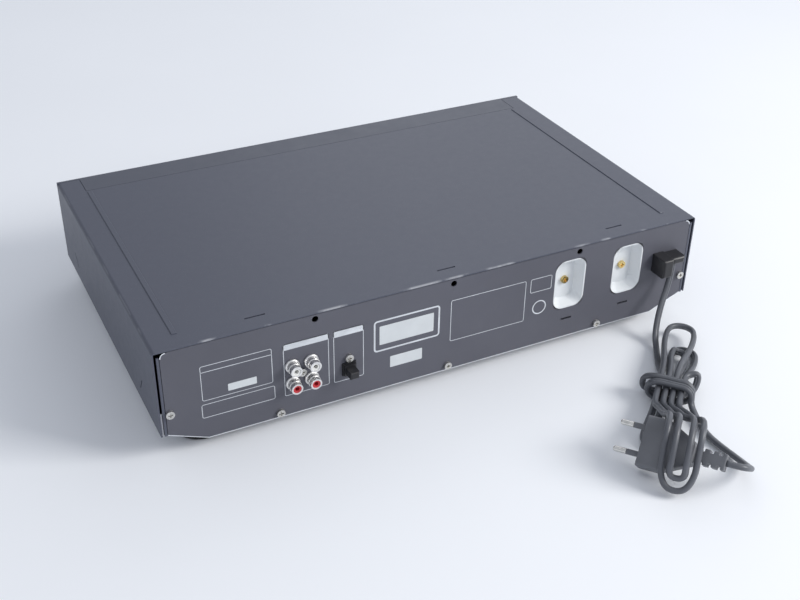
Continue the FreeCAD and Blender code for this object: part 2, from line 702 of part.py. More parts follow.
def jog_sleeve():
    sleeve = rod("sleeve_out", Y_AXIS, "shaft_r + 1.6 - pin_clear", "board_gap - 1",
                 "jog_x", "back_y + 0.3", "jog_z")
    hole = rod("sleeve_in", Y_AXIS, "shaft_r + pin_clear/2", "40", "jog_x", "back_y - 5", "jog_z")
    keep(cut("sleeve_cut", sleeve, [hole]), "jog_sleeve")


def jog_knob():
    part = Maker("jog_knob")
    part.turn("Revolution", "jog_x", "jog_z", [
        ("board_y - 1.2", "0"), ("face_y - knob_reach + 2", "0"),
        ("face_y - knob_reach + 1.6", "jog_r*0.72"), ("face_y - knob_reach", "jog_r*0.78"),
        ("face_y - knob_reach", "jog_r - 1.2"), ("face_y - knob_reach + 1.2", "jog_r"),
        ("face_y - knob_gap - 1", "jog_r"), ("face_y - knob_gap - 1", "jog_r - 2.5"),
        ("face_y - knob_reach + 5", "jog_r - 2.5"), ("face_y - knob_reach + 5", "shaft_r"),
        ("board_y - 1.2", "shaft_r")])
    return part.done()


def phones_socket():
    nut = rod("socket_nut", Y_AXIS, "socket_nut_r", "2", "socket_x", "face_y - 2", "socket_z")
    neck = rod("socket_neck", Y_AXIS, "socket_nut_r - 2", "fascia_t + 3", "socket_x",
               "face_y - 1", "socket_z")
    can = block("socket_can", "socket_x - 6", "socket_x + 6", "back_y + 0.1",
                "face_y + socket_l + 3", "socket_z - 4.4", "socket_z + 4.4")
    bore = rod("socket_bore", Y_AXIS, "socket_r", "socket_l + 3", "socket_x", "face_y - 3", "socket_z")
    keep(cut("socket", join("socket_body", [nut, neck, can]), [bore]), "headphone_socket")


# Feet and screws

FOOT_PLACES = [(f"({i})*foot_x", f"({j})*foot_y") for i in (-1, 1) for j in (-1, 1)]


def foot(name, x, y):
    part = Maker(name)
    part.spin(x, y, [("foot_hole_r", "3"), ("foot_r - 7", "3"), ("foot_r - 7", "0"),
                     ("foot_r - 1.2", "0"), ("foot_r", "1.2"), ("foot_r", "foot_h"),
                     ("screw_r + 0.05", "foot_h"), ("screw_r + 0.05", "5.4"),
                     ("foot_hole_r", "5.4")])
    return part.body


def screw(name, axis, x, y, z, length="screw_l"):
    # The head's underside is at x, y, z and the head points along axis.
    lead = V(axis)
    head = rod(f"{name}_head", lead, "screw_head_r", "screw_head_t", x, y, z)
    shank = rod(f"{name}_shank", -lead, "screw_r", length, x, y, z)
    solid = join(f"{name}_solid", [head, shank])
    crosses = []
    for k, (long_side, short_side) in enumerate((("screw_head_r*1.1", "cross_w"),
                                                 ("cross_w", "screw_head_r*1.1"))):
        if abs(lead.y) > 0.5:
            crosses.append(block(f"{name}_cross{k}", f"{x} - {long_side}/2", f"{x} + {long_side}/2",
                                 f"{y} + screw_head_t*0.4", f"{y} + screw_head_t + 1",
                                 f"{z} - {short_side}/2", f"{z} + {short_side}/2"))
        else:
            sign = "-" if lead.z < 0 else ""
            ends = [f"{z} {sign or '+'} screw_head_t*0.4", f"{z} {sign or '+'} (screw_head_t + 1)"]
            ends = ends[::-1] if sign else ends
            crosses.append(block(f"{name}_cross{k}", f"{x} - {long_side}/2", f"{x} + {long_side}/2",
                                 f"{y} - {short_side}/2", f"{y} + {short_side}/2", *ends))
    return cut(f"{name}_cut", solid, crosses)


def screws():
    # The feet, the mechanism and the main board share one kind of screw.
    rear = [screw(f"rear_low{k + 2}", Y_AXIS, f"({k})*low_screw_x", "rear_y", "low_screw_z",
                  "sheet_t*2 + seam") for k in (-1, 0, 1)]
    rear.append(screw("rear_jack", Y_AXIS, "jack_x", "rear_y", "jack_z"))
    rear.append(screw("rear_optic", Y_AXIS, "optic_x", "rear_y", "optic_z + optic_screw_dz"))
    rear += [screw(f"rear_side{k + 2}", Y_AXIS, f"({k})*side_screw_x", "rear_y", "side_screw_z")
             for k in (-1, 1)]
    keep(together("rear_group", rear), "rear_screws")
    inner = [screw(f"foot_screw{k}", -Z_AXIS, x, y, "5.4", "foot_h - 5.4 + sheet_t")
             for k, (x, y) in enumerate(FOOT_PLACES)]
    inner += [screw(f"mech_screw{k}", Z_AXIS, x, y, "plate_z", "mount_h + sheet_t + 7")
              for k, (x, y) in enumerate(MOUNT_PLACES)]
    inner += [screw(f"board_screw{k}", Z_AXIS, x, y, "board_z + board_t", "board_t + 5")
              for k, (x, y) in enumerate(POST_PLACES)]
    keep(together("screw_group", inner), "chassis_screws")


# Disc mechanism

def mech_frame():
    part = Maker("mech_frame")
    low = "slot_x - mech_w/2"
    high = "slot_x + mech_w/2"
    part.pad("XY_Plane", "mech_z", "plate_z", rect(low, high, "mech_y0", "mech_y1"))
    part.pad("XY_Plane", "plate_z - 0.2", "mech_z + mech_wall_h",
             rect(low, f"{low} + sheet_t", "mech_y0", "mech_y1"),
             rect(f"{high} - sheet_t", high, "mech_y0", "mech_y1"))
    part.pad("XY_Plane", "plate_z - 0.2", "rod_level + 4",
             rect("slot_x - worm_x - 4", "slot_x + worm_x + 5", "sled_y - 6", "sled_y - 3"),
             rect("slot_x - worm_x - 4", "slot_x + worm_x + 5", "sled_y - 6 + rod_l + 3",
                  "sled_y - 6 + rod_l + 6"))
    part.pad("XY_Plane", "mech_z + mech_wall_h - sheet_t", "mech_z + mech_wall_h",
             rect(low, high, "mech_y1 - 12", "mech_y1"))
    part.pad("XY_Plane", "plate_z - 0.2", "mech_z + mech_wall_h",
             rect("slot_x - 9", "slot_x + 9", "mech_y1 - sheet_t", "mech_y1"))
    part.pocket("XY_Plane", "mech_z - 1", "plate_z + 1",
                circle("slot_x", "spin_y", "motor_r*0.5"),
                rect("slot_x - 10", "slot_x + 10", "sled_y + 2", "sled_y + rod_l - 14"))
    part.pocket("XZ_Plane", "sled_y - 7", "sled_y + rod_l + 1",
                circle("slot_x - rod_x", "rod_level", "rod_r"),
                circle("slot_x + rod_x", "rod_level", "rod_r"),
                circle("slot_x + worm_x", "rod_level", "worm_r + pin_clear/2"))
    part.pocket("YZ_Plane", "slot_x - mech_w/2 - 1", "slot_x + mech_w/2 + 1",
                *[rect(f"{y} - follower_r - 0.3", f"{y} + follower_r + 0.3",
                       "pin_z - holder_drop - follower_r - 0.3", "pin_z + follower_r + 0.3")
                  for y in PIN_PLACES])
    part.pocket("XY_Plane", "mech_z - 1", "plate_z + 1",
                *[circle(x, y, "screw_r + 0.05") for x, y in MOUNT_PLACES])
    part.pocket("YZ_Plane", "slot_x + mech_w/2 - 3", "slot_x + mech_w/2 + 1",
                circle(PINION_Y, PINION_Z, "1.5 + pin_clear/2"))
    return part.done()


PLACES["pin_z"] = "slot_z - holder_h/2 + 2.2"
PINION_Y = "mech_y0 + 20 + 7.45*3.14159*tooth"
PINION_Z = "pin_z - holder_drop - 7 - pinion_r - tooth*1.2"
PIN_PLACES = ["mech_y0 + 18", "mech_y0 + 58"]
MOUNT_PLACES = [(f"slot_x + ({i})*(mech_w/2 - 10)", f"mech_y0 + {y}")
                for i in (-1, 1) for y in ("9", "mech_d - 9")]


def mech_supports():
    posts = []
    mounts = []
    for k, (x, y) in enumerate(MOUNT_PLACES):
        post = rod(f"post{k}", Z_AXIS, "mech_post_r", "mech_z - mount_h - deck_z", x, y, "deck_z")
        well = rod(f"post_well{k}", Z_AXIS, "screw_r", "8", x, y, "mech_z - mount_h - 8")
        posts.append(cut(f"post_cut{k}", post, [well]))
        ring = rod(f"mount{k}", Z_AXIS, "mount_r", "mount_h", x, y, "mech_z - mount_h")
        hole = rod(f"mount_well{k}", Z_AXIS, "screw_r + 0.05", "mount_h + 2", x, y,
                   "mech_z - mount_h - 1")
        mounts.append(cut(f"mount_cut{k}", ring, [hole]))
    keep(together("mount_group", mounts), "rubber_mounts")
    for k, (x, y) in enumerate(POST_PLACES):
        post = rod(f"board_post{k}", Z_AXIS, "post_r", "board_z - deck_z", x, y, "deck_z")
        well = rod(f"board_well{k}", Z_AXIS, "screw_r", "7", x, y, "board_z - 7")
        posts.append(cut(f"board_post_cut{k}", post, [well]))
    keep(together("post_group", posts), "posts")


def spindle():
    can = rod("motor_can", Z_AXIS, "motor_r", "motor_h", "slot_x", "spin_y", "mech_z - motor_h")
    bush = rod("motor_bush", Z_AXIS, "spindle_r + 2", "sheet_t + 2", "slot_x", "spin_y", "mech_z")
    bore = rod("motor_bore", Z_AXIS, "spindle_r + pin_clear/2", "motor_h + 4", "slot_x", "spin_y",
               "mech_z - motor_h + 1")
    keep(cut("motor_cut", join("motor_body", [can, bush]), [bore]), "spindle_motor")
    part = Maker("turntable")
    part.spin("slot_x", "spin_y", [
        ("0", "mech_z - motor_h + 1.3"), ("spindle_r", "mech_z - motor_h + 1.3"),
        ("spindle_r", "plate_z + table_z - 1.5"), ("spindle_r + 2", "plate_z + table_z - 1.5"),
        ("spindle_r + 2", "plate_z + table_z"), ("table_r", "plate_z + table_z"),
        ("table_r", "plate_z + table_z + table_t*0.6"),
        ("table_r - 3", "plate_z + table_z + table_t*0.6"),
        ("3.6", "plate_z + table_z + table_t"), ("0", "plate_z + table_z + table_t")])
    part.done()


def sled():
    rods = [rod(f"rod{k}", Y_AXIS, "rod_r", "rod_l + 9", f"slot_x + ({k})*rod_x",
                "sled_y - 6", "rod_level") for k in (-1, 1)]
    keep(together("rod_group", rods), "guide_rods")
    part = Maker("pickup_sled")
    part.pad("XY_Plane", "plate_z + 1.4", "plate_z + 1.4 + sled_h",
             rect("slot_x - rod_x - 4", "slot_x + worm_x + 3.6", "sled_y", "sled_y + sled_d"))
    part.pad("XY_Plane", "plate_z + 1", "plate_z + 2.4 + sled_h",
             circle("slot_x", "sled_y + sled_d/2", "lens_r + 2"))
    part.pocket("XZ_Plane", "sled_y - 1", "sled_y + sled_d + 1",
                *[circle(f"slot_x + ({k})*rod_x", "rod_level", "rod_r + pin_clear/2")
                  for k in (-1, 1)],
                circle("slot_x + worm_x", "rod_level", "worm_r + pin_clear/2"))
    part.pocket("XY_Plane", "plate_z + 1.4 + sled_h - 0.6", "plate_z + 3 + sled_h",
                circle("slot_x", "sled_y + sled_d/2", "lens_r + 0.05"))
    part.done()
    lens = document.addObject("Part::Sphere", "lens_ball")
    lens.setExpression("Radius", bound("lens_r"))
    place(lens, "slot_x", "sled_y + sled_d/2", "plate_z + 2 + sled_h - 0.6")
    cap = rod("lens_cap", Z_AXIS, "lens_r + 1", "lens_r*0.45", "slot_x", "sled_y + sled_d/2",
              "plate_z + 2 + sled_h - 0.6 + lens_r*0.1")
    dome = document.addObject("Part::Common", "lens_dome")
    dome.Base = lens
    dome.Tool = cap
    stem = rod("lens_stem", Z_AXIS, "lens_r*0.9", "0.7 + lens_r*0.15", "slot_x",
               "sled_y + sled_d/2", "plate_z + 1.4 + sled_h - 0.55")
    keep(join("lens", [dome, stem]), "pickup_lens")
    screw_body = rod("worm_thread", Y_AXIS, "worm_r", "rod_l + 12", "slot_x + worm_x",
                     "sled_y - 6.4", "rod_level")
    keep(screw_body, "lead_screw")
    can = block("sled_can", "slot_x + worm_x - 6", "slot_x + worm_x + 6", "sled_y + rod_l + 0.4",
                "sled_y + rod_l + 14", "plate_z", "rod_level + 5")
    bore = rod("sled_can_bore", Y_AXIS, "worm_r + pin_clear/2", "6.4", "slot_x + worm_x",
               "sled_y + rod_l - 0.1", "rod_level")
    return cut("sled_motor_cut", can, [bore])


def holder():
    part = Maker("disc_holder")
    low = "slot_x - holder_w/2"
    high = "slot_x + holder_w/2"
    front = "mech_y0 + 4"
    rear = "mech_y0 + 4 + holder_d"
    bottom = "slot_z - holder_h/2"
    part.pad("XY_Plane", bottom, f"{bottom} + holder_t",
             rect(low, "slot_x - 30", front, rear), rect("slot_x + 30", high, front, rear))
    part.pad("XY_Plane", f"{bottom} + holder_t/2", "lid_z",
             rect(low, f"{low} + holder_t", front, rear), rect(f"{high} - holder_t", high, front, rear))
    part.pad("XY_Plane", "lid_z - holder_t", "lid_z", rect(low, high, front, rear))
    part.pad("XY_Plane", f"{bottom} + holder_t/2", "lid_z - holder_t/2",
             rect(low, high, f"{rear} - holder_t", rear))
    part.pad("YZ_Plane", f"{high} - holder_t/2", "slider_x + slider_t + 0.3",
             *[circle(y, "pin_z", "follower_r") for y in PIN_PLACES])
    part.pad("YZ_Plane", "slot_x - mech_w/2 + 0.2", f"{low} + holder_t/2",
             *[circle(y, "pin_z", "follower_r") for y in PIN_PLACES])
    part.pocket("XY_Plane", "lid_z - holder_t - 1", "lid_z + 1",
                rect("slot_x - 8", "slot_x + 8", f"{front} + 26", f"{rear} - 8"))
    return part.done()


def slider():
    part = Maker("loading_slider")
    part.pad("YZ_Plane", "slider_x", "slider_x + slider_t",
             rect("mech_y0 - 4", "mech_y0 + 74", "pin_z - holder_drop - 7", "pin_z + 4"))
    slots = []
    room = "(follower_r + 0.25)"
    for y in PIN_PLACES:
        slots.append(polygon([
            (f"{y} - slider_travel - {room}", f"pin_z - holder_drop - {room}"),
            (f"{y} - slider_travel + {room}", f"pin_z - holder_drop - {room}"),
            (f"{y} + {room}", f"pin_z - {room}"), (f"{y} + {room}", f"pin_z + {room}"),
            (f"{y} - {room}", f"pin_z + {room}"),
            (f"{y} - slider_travel - {room}", f"pin_z - holder_drop + {room}")]))
    part.pocket("YZ_Plane", "slider_x - 1", "slider_x + slider_t + 1", *slots)
    rack = "pin_z - holder_drop - 7"
    pitch = math.pi * size("tooth")
    outline = [("mech_y0 + 20", f"{rack} + 0.2")]
    for k in range(14):
        start = 20 + k * pitch
        outline += [(f"mech_y0 + {start + pitch * 0.16:.3f}", f"{rack} - tooth*0.2"),
                    (f"mech_y0 + {start + pitch * 0.34:.3f}", f"{rack} - tooth*2.1"),
                    (f"mech_y0 + {start + pitch * 0.56:.3f}", f"{rack} - tooth*2.1"),
                    (f"mech_y0 + {start + pitch * 0.74:.3f}", f"{rack} - tooth*0.2")]
    outline.append((f"mech_y0 + {20 + 14 * pitch:.3f}", f"{rack} + 0.2"))
    part.pad("YZ_Plane", "slider_x", "slider_x + slider_t", polygon(outline))
    return part.done()


def head_arm():
    part = Maker("magnetic_head_arm")
    rise = "lid_z + 4"
    part.pad("XY_Plane", rise, f"{rise} + 1", polygon([
        ("slot_x - 12", "mech_y1 - 10"), ("slot_x + 12", "mech_y1 - 10"),
        ("slot_x + 4", "sled_y + 4"), ("slot_x - 4", "sled_y + 4")]))
    part.pad("XY_Plane", f"{rise} - 1.6", f"{rise} + 0.4",
             rect("slot_x - 3", "slot_x + 3", "sled_y + 5", "sled_y + 12"))
    part.pad("YZ_Plane", "slot_x - 12", "slot_x + 12",
             circle("mech_y1 - 10", f"{rise} + 0.5", "2.6"))
    part.pocket("YZ_Plane", "slot_x - 14", "slot_x + 14",
                circle("mech_y1 - 10", f"{rise} + 0.5", "1 + pin_clear/2"))
    part.done()
    stand = []
    for k in (-1, 1):
        stand.append(block(f"arm_ear{k + 2}", f"slot_x + ({k})*14.5 - 1", f"slot_x + ({k})*14.5 + 1",
                           "mech_y1 - 12", "mech_y1 - 8", "mech_z + mech_wall_h", f"{rise} + 3"))
    axle = rod("arm_axle", X_AXIS, "1", "31", "slot_x - 15.5", "mech_y1 - 10", f"{rise} + 0.5")
    keep(join("arm_stand", stand + [axle]), "head_arm_bracket")


def loading_drive():
    centre_y = PINION_Y
    centre_z = PINION_Z
    part = Maker("loading_pinion")
    teeth = 12
    points = []
    for k in range(teeth):
        for share, reach in ((-0.30, "- 1.15*tooth"), (-0.13, "+ 0.75*tooth"),
                             (0.13, "+ 0.75*tooth"), (0.30, "- 1.15*tooth")):
            turn = 360 * (k + share) / teeth + 90 + 360 * 0.5 / teeth
            points.append((f"({centre_y}) + (pinion_r {reach})*cos({turn:.4f})",
                           f"({centre_z}) + (pinion_r {reach})*sin({turn:.4f})"))
    part.pad("YZ_Plane", "slider_x", "slider_x + pinion_t", polygon(points))
    part.pad("YZ_Plane", "slider_x - 3", "slider_x + 8", circle(centre_y, centre_z, "1.5"))
    part.done()
    can = block("drive_can", "slider_x + pinion_t + 0.3", "slider_x + pinion_t + 18",
                f"({centre_y}) - 7", f"({centre_y}) + 7", f"({centre_z}) - 7", f"({centre_z}) + 7")
    bore = rod("drive_bore", X_AXIS, "1.5 + pin_clear/2", "8", "slider_x + pinion_t - 0.1",
               centre_y, centre_z)
    bracket = block("drive_bracket", "slider_x + pinion_t + 6", "slider_x + pinion_t + 14",
                    f"({centre_y}) - 5", f"({centre_y}) + 5", "board_z + board_t", f"({centre_z}) - 6.5")
    return cut("drive_cut", join("drive_body", [can, bracket]), [bore])


# Electronics

def main_board():
    part = Maker("main_board")
    part.pad("XY_Plane", "board_z", "board_z + board_t",
             rect("slot_x + mech_w/2 + 2 - 6", "edge_x - 22", "back_y + 30", "inner_y - 6"))
    part.pocket("XY_Plane", "board_z - 1", "board_z + board_t + 1",
                *[circle(x, y, "screw_r + 0.05") for x, y in POST_PLACES])
    return part.done()


POST_PLACES = [(x, y) for x in ("slot_x + mech_w/2 + 6", "edge_x - 44") for y in ("back_y + 40", "inner_y - 40")]


def components():
    cans = [("slot_x + 74", "inner_y - 30", 8, 26), ("slot_x + 94", "inner_y - 30", 8, 26),
            ("slot_x + 118", "inner_y - 34", 6, 18), ("edge_x - 50", "inner_y - 60", 5, 14),
            ("edge_x - 64", "inner_y - 74", 5, 14), ("edge_x - 50", "inner_y - 90", 4, 11),
            ("edge_x - 80", "inner_y - 60", 4, 11)]
    cylinders = [rod(f"capacitor{k}", Z_AXIS, str(r), str(tall), x, y, "board_z + board_t")
                 for k, (x, y, r, tall) in enumerate(cans)]
    keep(together("capacitor_group", cylinders), "capacitors")
    chips = [("slot_x + 90", "back_y + 70", 28, 28), ("slot_x + 140", "back_y + 74", 20, 20),
             ("slot_x + 190", "back_y + 90", 30, 12), ("slot_x + 150", "back_y + 130", 18, 10),
             ("slot_x + 96", "back_y + 130", 12, 24)]
    blocks = [block(f"chip{k}", f"{x} - {w}/2", f"{x} + {w}/2", f"{y} - {d}/2", f"{y} + {d}/2",
                    "board_z + board_t", "board_z + board_t + 2.4")
              for k, (x, y, w, d) in enumerate(chips)]
    packs = []
    for k, cup in enumerate(("cup_near_x", "cup_far_x")):
        packs.append(block(f"regulator{k}", f"{cup} - 5", f"{cup} + 5", "cup_y - cup_t - 4.6",
                           "cup_y - cup_t", "cup_z - 8", "cup_z + 8"))
    wells = [rod(f"regulator_well{k}", Y_AXIS, "screw_r + 0.05", "12", cup, "cup_y - cup_t - 8",
                 "cup_z") for k, cup in enumerate(("cup_near_x", "cup_far_x"))]
    cuts = [cut(f"regulator_cut{k}", pack, [well]) for k, (pack, well) in enumerate(zip(packs, wells))]
    keep(together("chip_group", blocks + cuts), "chips")


def transformer():
    core = block("core_block", "core_x - core_w/2", "core_x + core_w/2", "core_y - core_d/2",
                 "core_y + core_d/2", "deck_z", "deck_z + core_h")
    hollow = block("core_hollow", "core_x - coil_w/2", "core_x + coil_w/2", "core_y - core_d",
                   "core_y + core_d", "deck_z + 8", "deck_z + core_h - 8")
    keep(cut("core_cut", core, [hollow]), "transformer_core")
    part = Maker("transformer_coil")
    part.pad("XZ_Plane", "core_y - coil_d/2", "core_y + coil_d/2",
             centred("core_x", "deck_z + core_h/2", "coil_w - 0.2", "core_h - 16.2"))
    part.soften("Fillet", "4", lambda e: abs(abs(middle(e).y - size("core_y")) - size("coil_d") / 2) < 0.01)
    part.done()


# Rear sockets

def line_jacks():
    block_y0 = "inner_y - 13"
    body = block("jack_block", "jack_x - jack_dx/2 - 6", "jack_x + jack_dx/2 + 6", block_y0,
                 "inner_y", "board_z + board_t", "jack_z + jack_dz/2 + 6")
    well = rod("jack_well", Y_AXIS, "screw_r", "9", "jack_x", "inner_y - 8", "jack_z")
    shells = []
    white = []
    red = []
    bores = []
    for j in (-1, 1):
        for i in (-1, 1):
            x = f"jack_x + ({i})*jack_dx/2"
            z = f"jack_z + ({j})*jack_dz/2"
            tag = f"{i + 2}{j + 2}"
            root = rod(f"shell_root{tag}", Y_AXIS, "jack_r - jack_clear - 0.05", "sheet_t + 0.4", x,
                       "inner_y", z)
            collar = rod(f"shell_collar{tag}", Y_AXIS, "jack_r", "jack_reach - 0.3", x,
                         "rear_y + 0.3", z)
            shell = join(f"shell{tag}", [root, collar])
            inside = rod(f"shell_in{tag}", Y_AXIS, "jack_core_r", "sheet_t + jack_reach + 2", x,
                         "inner_y - 1", z)
            shells.append(cut(f"shell_cut{tag}", shell, [inside]))
            core = rod(f"core{tag}", Y_AXIS, "jack_core_r", "sheet_t + jack_reach - 0.5", x,
                       "inner_y", z)
            bore = rod(f"core_bore{tag}", Y_AXIS, "jack_bore_r", "jack_reach + 2", x,
                       "rear_y", z)
            (white if j > 0 else red).append(cut(f"core_cut{tag}", core, [bore]))
    keep(together("shell_group", shells), "jack_shells")
    keep(together("white_group", white), "white_inserts")
    keep(together("red_group", red), "red_inserts")
    return cut("jack_block_cut", body, [well])


def optical_input():
    body = block("optic_body", "optic_x - optic_w/2", "optic_x + optic_w/2", "inner_y - 12",
                 "rear_y + 1", "optic_z - optic_w/2", "optic_z + optic_w/2")
    leg = block("optic_leg", "optic_x - optic_w/2", "optic_x + optic_w/2", "inner_y - 12",
                "inner_y - 0.1", "board_z + board_t", "optic_z + optic_screw_dz + 4")
    port = block("optic_port_hole", "optic_x - optic_port/2", "optic_x + optic_port/2",
                 "rear_y - 8", "rear_y + 3", "optic_z - optic_port/2", "optic_z + optic_port/2")
    well = rod("optic_well", Y_AXIS, "screw_r", "9", "optic_x", "inner_y - 8",
               "optic_z + optic_screw_dz")
    socket = cut("optic_cut", join("optic_solid", [body, leg]), [port, well])
    part = Maker("optical_dust_plug")
    part.pad("XZ_Plane", "rear_y - 7", "rear_y + 1.2",
             centred("optic_x", "optic_z", "optic_port - 0.3", "optic_port - 0.3"))
    part.pad("XZ_Plane", "rear_y + 1.1", "rear_y + 3",
             centred("optic_x", "optic_z", "optic_tab + 2", "optic_tab + 2"))
    part.pad("XZ_Plane", "rear_y + 2", "rear_y + optic_reach",
             centred("optic_x", "optic_z", "optic_tab", "optic_tab - 1"))
    tip = front_y() + size("fascia_reach") + size("case_d") + size("optic_reach")
    part.soften("Fillet", "1.2", lambda e: abs(middle(e).y - tip) < 0.01)
    part.done()
    return socket


def cup_block(name, cup, inset, spread, deep):
    half_w = f"(cup_w/2 + {spread})"
    half_h = f"(cup_h/2 + {spread})"
    part = Maker(name)
    outer = part.sketch("XZ_Plane", "-rear_y")
    rect(f"{cup} - {half_w}", f"{cup} + {half_w}", f"cup_z - ({half_h})", f"cup_z + {half_h}")(outer)
    inner = part.sketch("XZ_Plane", f"-(cup_y - ({deep}))")
    slope = "cup_draft"
    rect(f"{cup} - ({half_w} - {slope})", f"{cup} + ({half_w} - {slope})",
         f"cup_z - ({half_h} - {slope})", f"cup_z + ({half_h} - {slope})")(inner)
    loft = part.body.newObject("PartDesign::AdditiveLoft", f"{name}_loft")
    loft.Profile = outer
    loft.Sections = [inner]
    loft.Ruled = True
    document.recompute()
    centre_x = size(inset) - size("case_w") / 2
    centre_z = size("cup_z")
    part.soften("Fillet", f"cup_r + {spread} - 1.5", lambda e: abs(middle(e).x - centre_x) > 3
                and abs(middle(e).z - centre_z) > 3)
    return part.body


def cups():
    shells = []
    for k, side in enumerate(("near", "far")):
        cup = f"cup_{side}_x"
        outer = cup_block(f"cup_outer{k}", cup, f"cup_{side}_in", "-0.05", "cup_t")
        inner = cup_block(f"cup_inner{k}", cup, f"cup_{side}_in", "-1.05", "0")
        well = rod(f"cup_well{k}", Y_AXIS, "screw_r + 0.05", "8", cup, "cup_y - 5", "cup_z")
        shells.append(cut(f"cup_cut{k}", outer, [inner, well]))
    keep(together("cup_group", shells), "rear_cups")
    bolts = [screw(f"cup_screw{k}", Y_AXIS, cup, "cup_y", "cup_z", "cup_t + 6")
             for k, cup in enumerate(("cup_near_x", "cup_far_x"))]
    keep(together("cup_screws", bolts), "brass_screws")


# Mains cord: strain relief, lead, tied hank, tail and plug

def strain_relief():
    outer = "gland_x + gland_w/2"
    body = block("gland_block", f"{outer} - gland_split", outer, "rear_y", "rear_y + gland_reach",
                 "gland_z - gland_h/2", "gland_z + gland_h/2")
    neck = block("gland_neck", "gland_x - gland_w/2 + gland_neck + 0.1",
                 "gland_x + gland_w/2 - gland_neck - 0.1", "inner_y - 8", "rear_y + 0.1",
                 "gland_z - gland_h/2 + gland_neck + 0.1", "gland_z + gland_h/2 - gland_neck - 0.1")
    hood = block("gland_hood", "gland_x - gland_w/2", f"{outer} - gland_split - 0.3", "rear_y",
                 "rear_y + gland_reach - 2.6", "gland_z + 0.6", "gland_z + gland_h/2 - 1")
    soft = document.addObject("Part::Fillet", "gland_soft")
    soft.Base = body
    soft.Edges = [(k, 2.0, 2.0) for k in gland_edges()]
    hood_soft = document.addObject("Part::Fillet", "hood_soft")
    hood_soft.Base = hood
    hood_soft.Edges = [(k, 2.5, 2.5) for k in gland_edges()]
    bridge = block("gland_bridge", "gland_x - gland_w/2 + 3", f"{outer} - 3", "rear_y - 0.5",
                   "rear_y + 2.4", "gland_z + 1", "gland_z + gland_h/2 - 2")
    keep(join("gland_all", [soft, neck, hood_soft, bridge]), "strain_relief")


def gland_edges():
    document.recompute()
    shape = document.getObject("gland_block").Shape
    far = shape.BoundBox.YMax
    return [k for k, e in enumerate(shape.Edges, start=1) if abs(middle(e).y - far) < 0.01]


def tube(name, points, radius):
    # Straight runs joined by tangent arcs, the arc as large as its two runs allow.
    edges = []
    start = points[0]
    radii = []
    for before, corner, after in zip(points, points[1:], points[2:]):
        come = corner - before
        leave = after - corner
        short = min(come.Length, leave.Length)
        turn = come.getAngle(leave)
        setback = 0.45 * short
        radii.append(setback / math.tan(turn / 2))
        come.normalize()
        leave.normalize()
        entry = corner - come * setback
        end = corner + leave * setback
        bisector = (leave - come).normalize()
        centre = corner + bisector * (radii[-1] / math.cos(turn / 2))
        top = centre - bisector * radii[-1]
        edges.append(Part.LineSegment(start, entry).toShape())
        edges.append(Part.Arc(entry, top, end).toShape())
        start = end
    edges.append(Part.LineSegment(start, points[-1]).toShape())
    path = Part.Wire(edges)
    section = Part.Wire([Part.Circle(points[0], points[1] - points[0], radius).toShape()])
    solid = path.makePipeShell([section], True, False)
    share = solid.Volume / (math.pi * radius ** 2 * path.Length)
    print(f"{name}: length {path.Length:.0f}, volume share {share:.4f},",
          "radii", " ".join(f"{r:.0f}" for r in radii))
    return solid


def shaped(name, solid):
    item = document.addObject("Part::Feature", name)
    item.Shape = solid
    return keep(item, name)


def rear_y():
    return front_y() + size("fascia_reach") + size("case_d")


# The hank lies at 45 degrees: U runs away from the deck, W across to its left.

HANK_CENTRE = V(-133.5, rear_y() + 91.4, 0)
U = V(1, 0, 0)
W = V(0, 1, 0)
Z = V(0, 0, 1)
ALONG = V(1, 1, 0).normalize()
ACROSS = V(-1, 1, 0).normalize()
CORD_R = size("cord_r")
PITCH = 5.3
FLOOR = CORD_R + 0.2
LOW = FLOOR + PITCH
HIGH = LOW + PITCH
TOP = HIGH + PITCH
MID = (FLOOR + TOP) / 2
SIDE = 1.5 * PITCH
BEND = (TOP - FLOOR) / 2
OVER_PLUG = 39.1


def turned(way):
    return ALONG * way.x + ACROSS * way.y + Z * way.z


def hank_point(u, w, z):
    return HANK_CENTRE + turned(V(u, w, z))


def column(k):
    # The four columns of strands beside each other at the waist.
    return (k - 1.5) * PITCH * 1.05


def half_loop(stops, u, w_from, w_to, z_from, z_to, way):
    radius = abs(w_to - w_from) / 2
    side = 1 if w_to > w_from else -1
    stops.append((V(u, w_from, z_from), U * way))
    stops.append((V(u + way * radius, (w_from + w_to) / 2, (z_from + z_to) / 2), W * side))
    stops.append((V(u, w_to, z_to), U * -way))


def waist(stops, k, z, way):
    for u in ((-11, 17) if way > 0 else (17, -11)):
        stops.append((V(u, column(k), z), U * way))


def over_plug(stops, k, j, near, far, low):
    # A strand that passes over the plug and comes back beside itself.
    radius = (far - near) / 2
    lean_near = (near - column(k)) / 57
    lean_far = (far - column(j)) / 57
    stops.append((V(44, (column(k) + near) / 2, 22.5), U * 0.9 + Z * 0.42 + W * lean_near))
    stops.append((V(76, near, OVER_PLUG), U * 0.97 + Z * 0.05))
    stops.append((V(94.5, near, low + 15), U * 0.5 - Z * 0.86))
    stops.append((V(97 + radius * 0.6, near + radius, low + radius * 0.1), W))
    stops.append((V(94.5, far, low + 15), U * -0.5 + Z * 0.86))
    stops.append((V(76, far, OVER_PLUG), U * -0.97 - Z * 0.05))
    stops.append((V(44, (column(j) + far) / 2, 22.5), U * -0.9 - Z * 0.42 - W * lean_far))


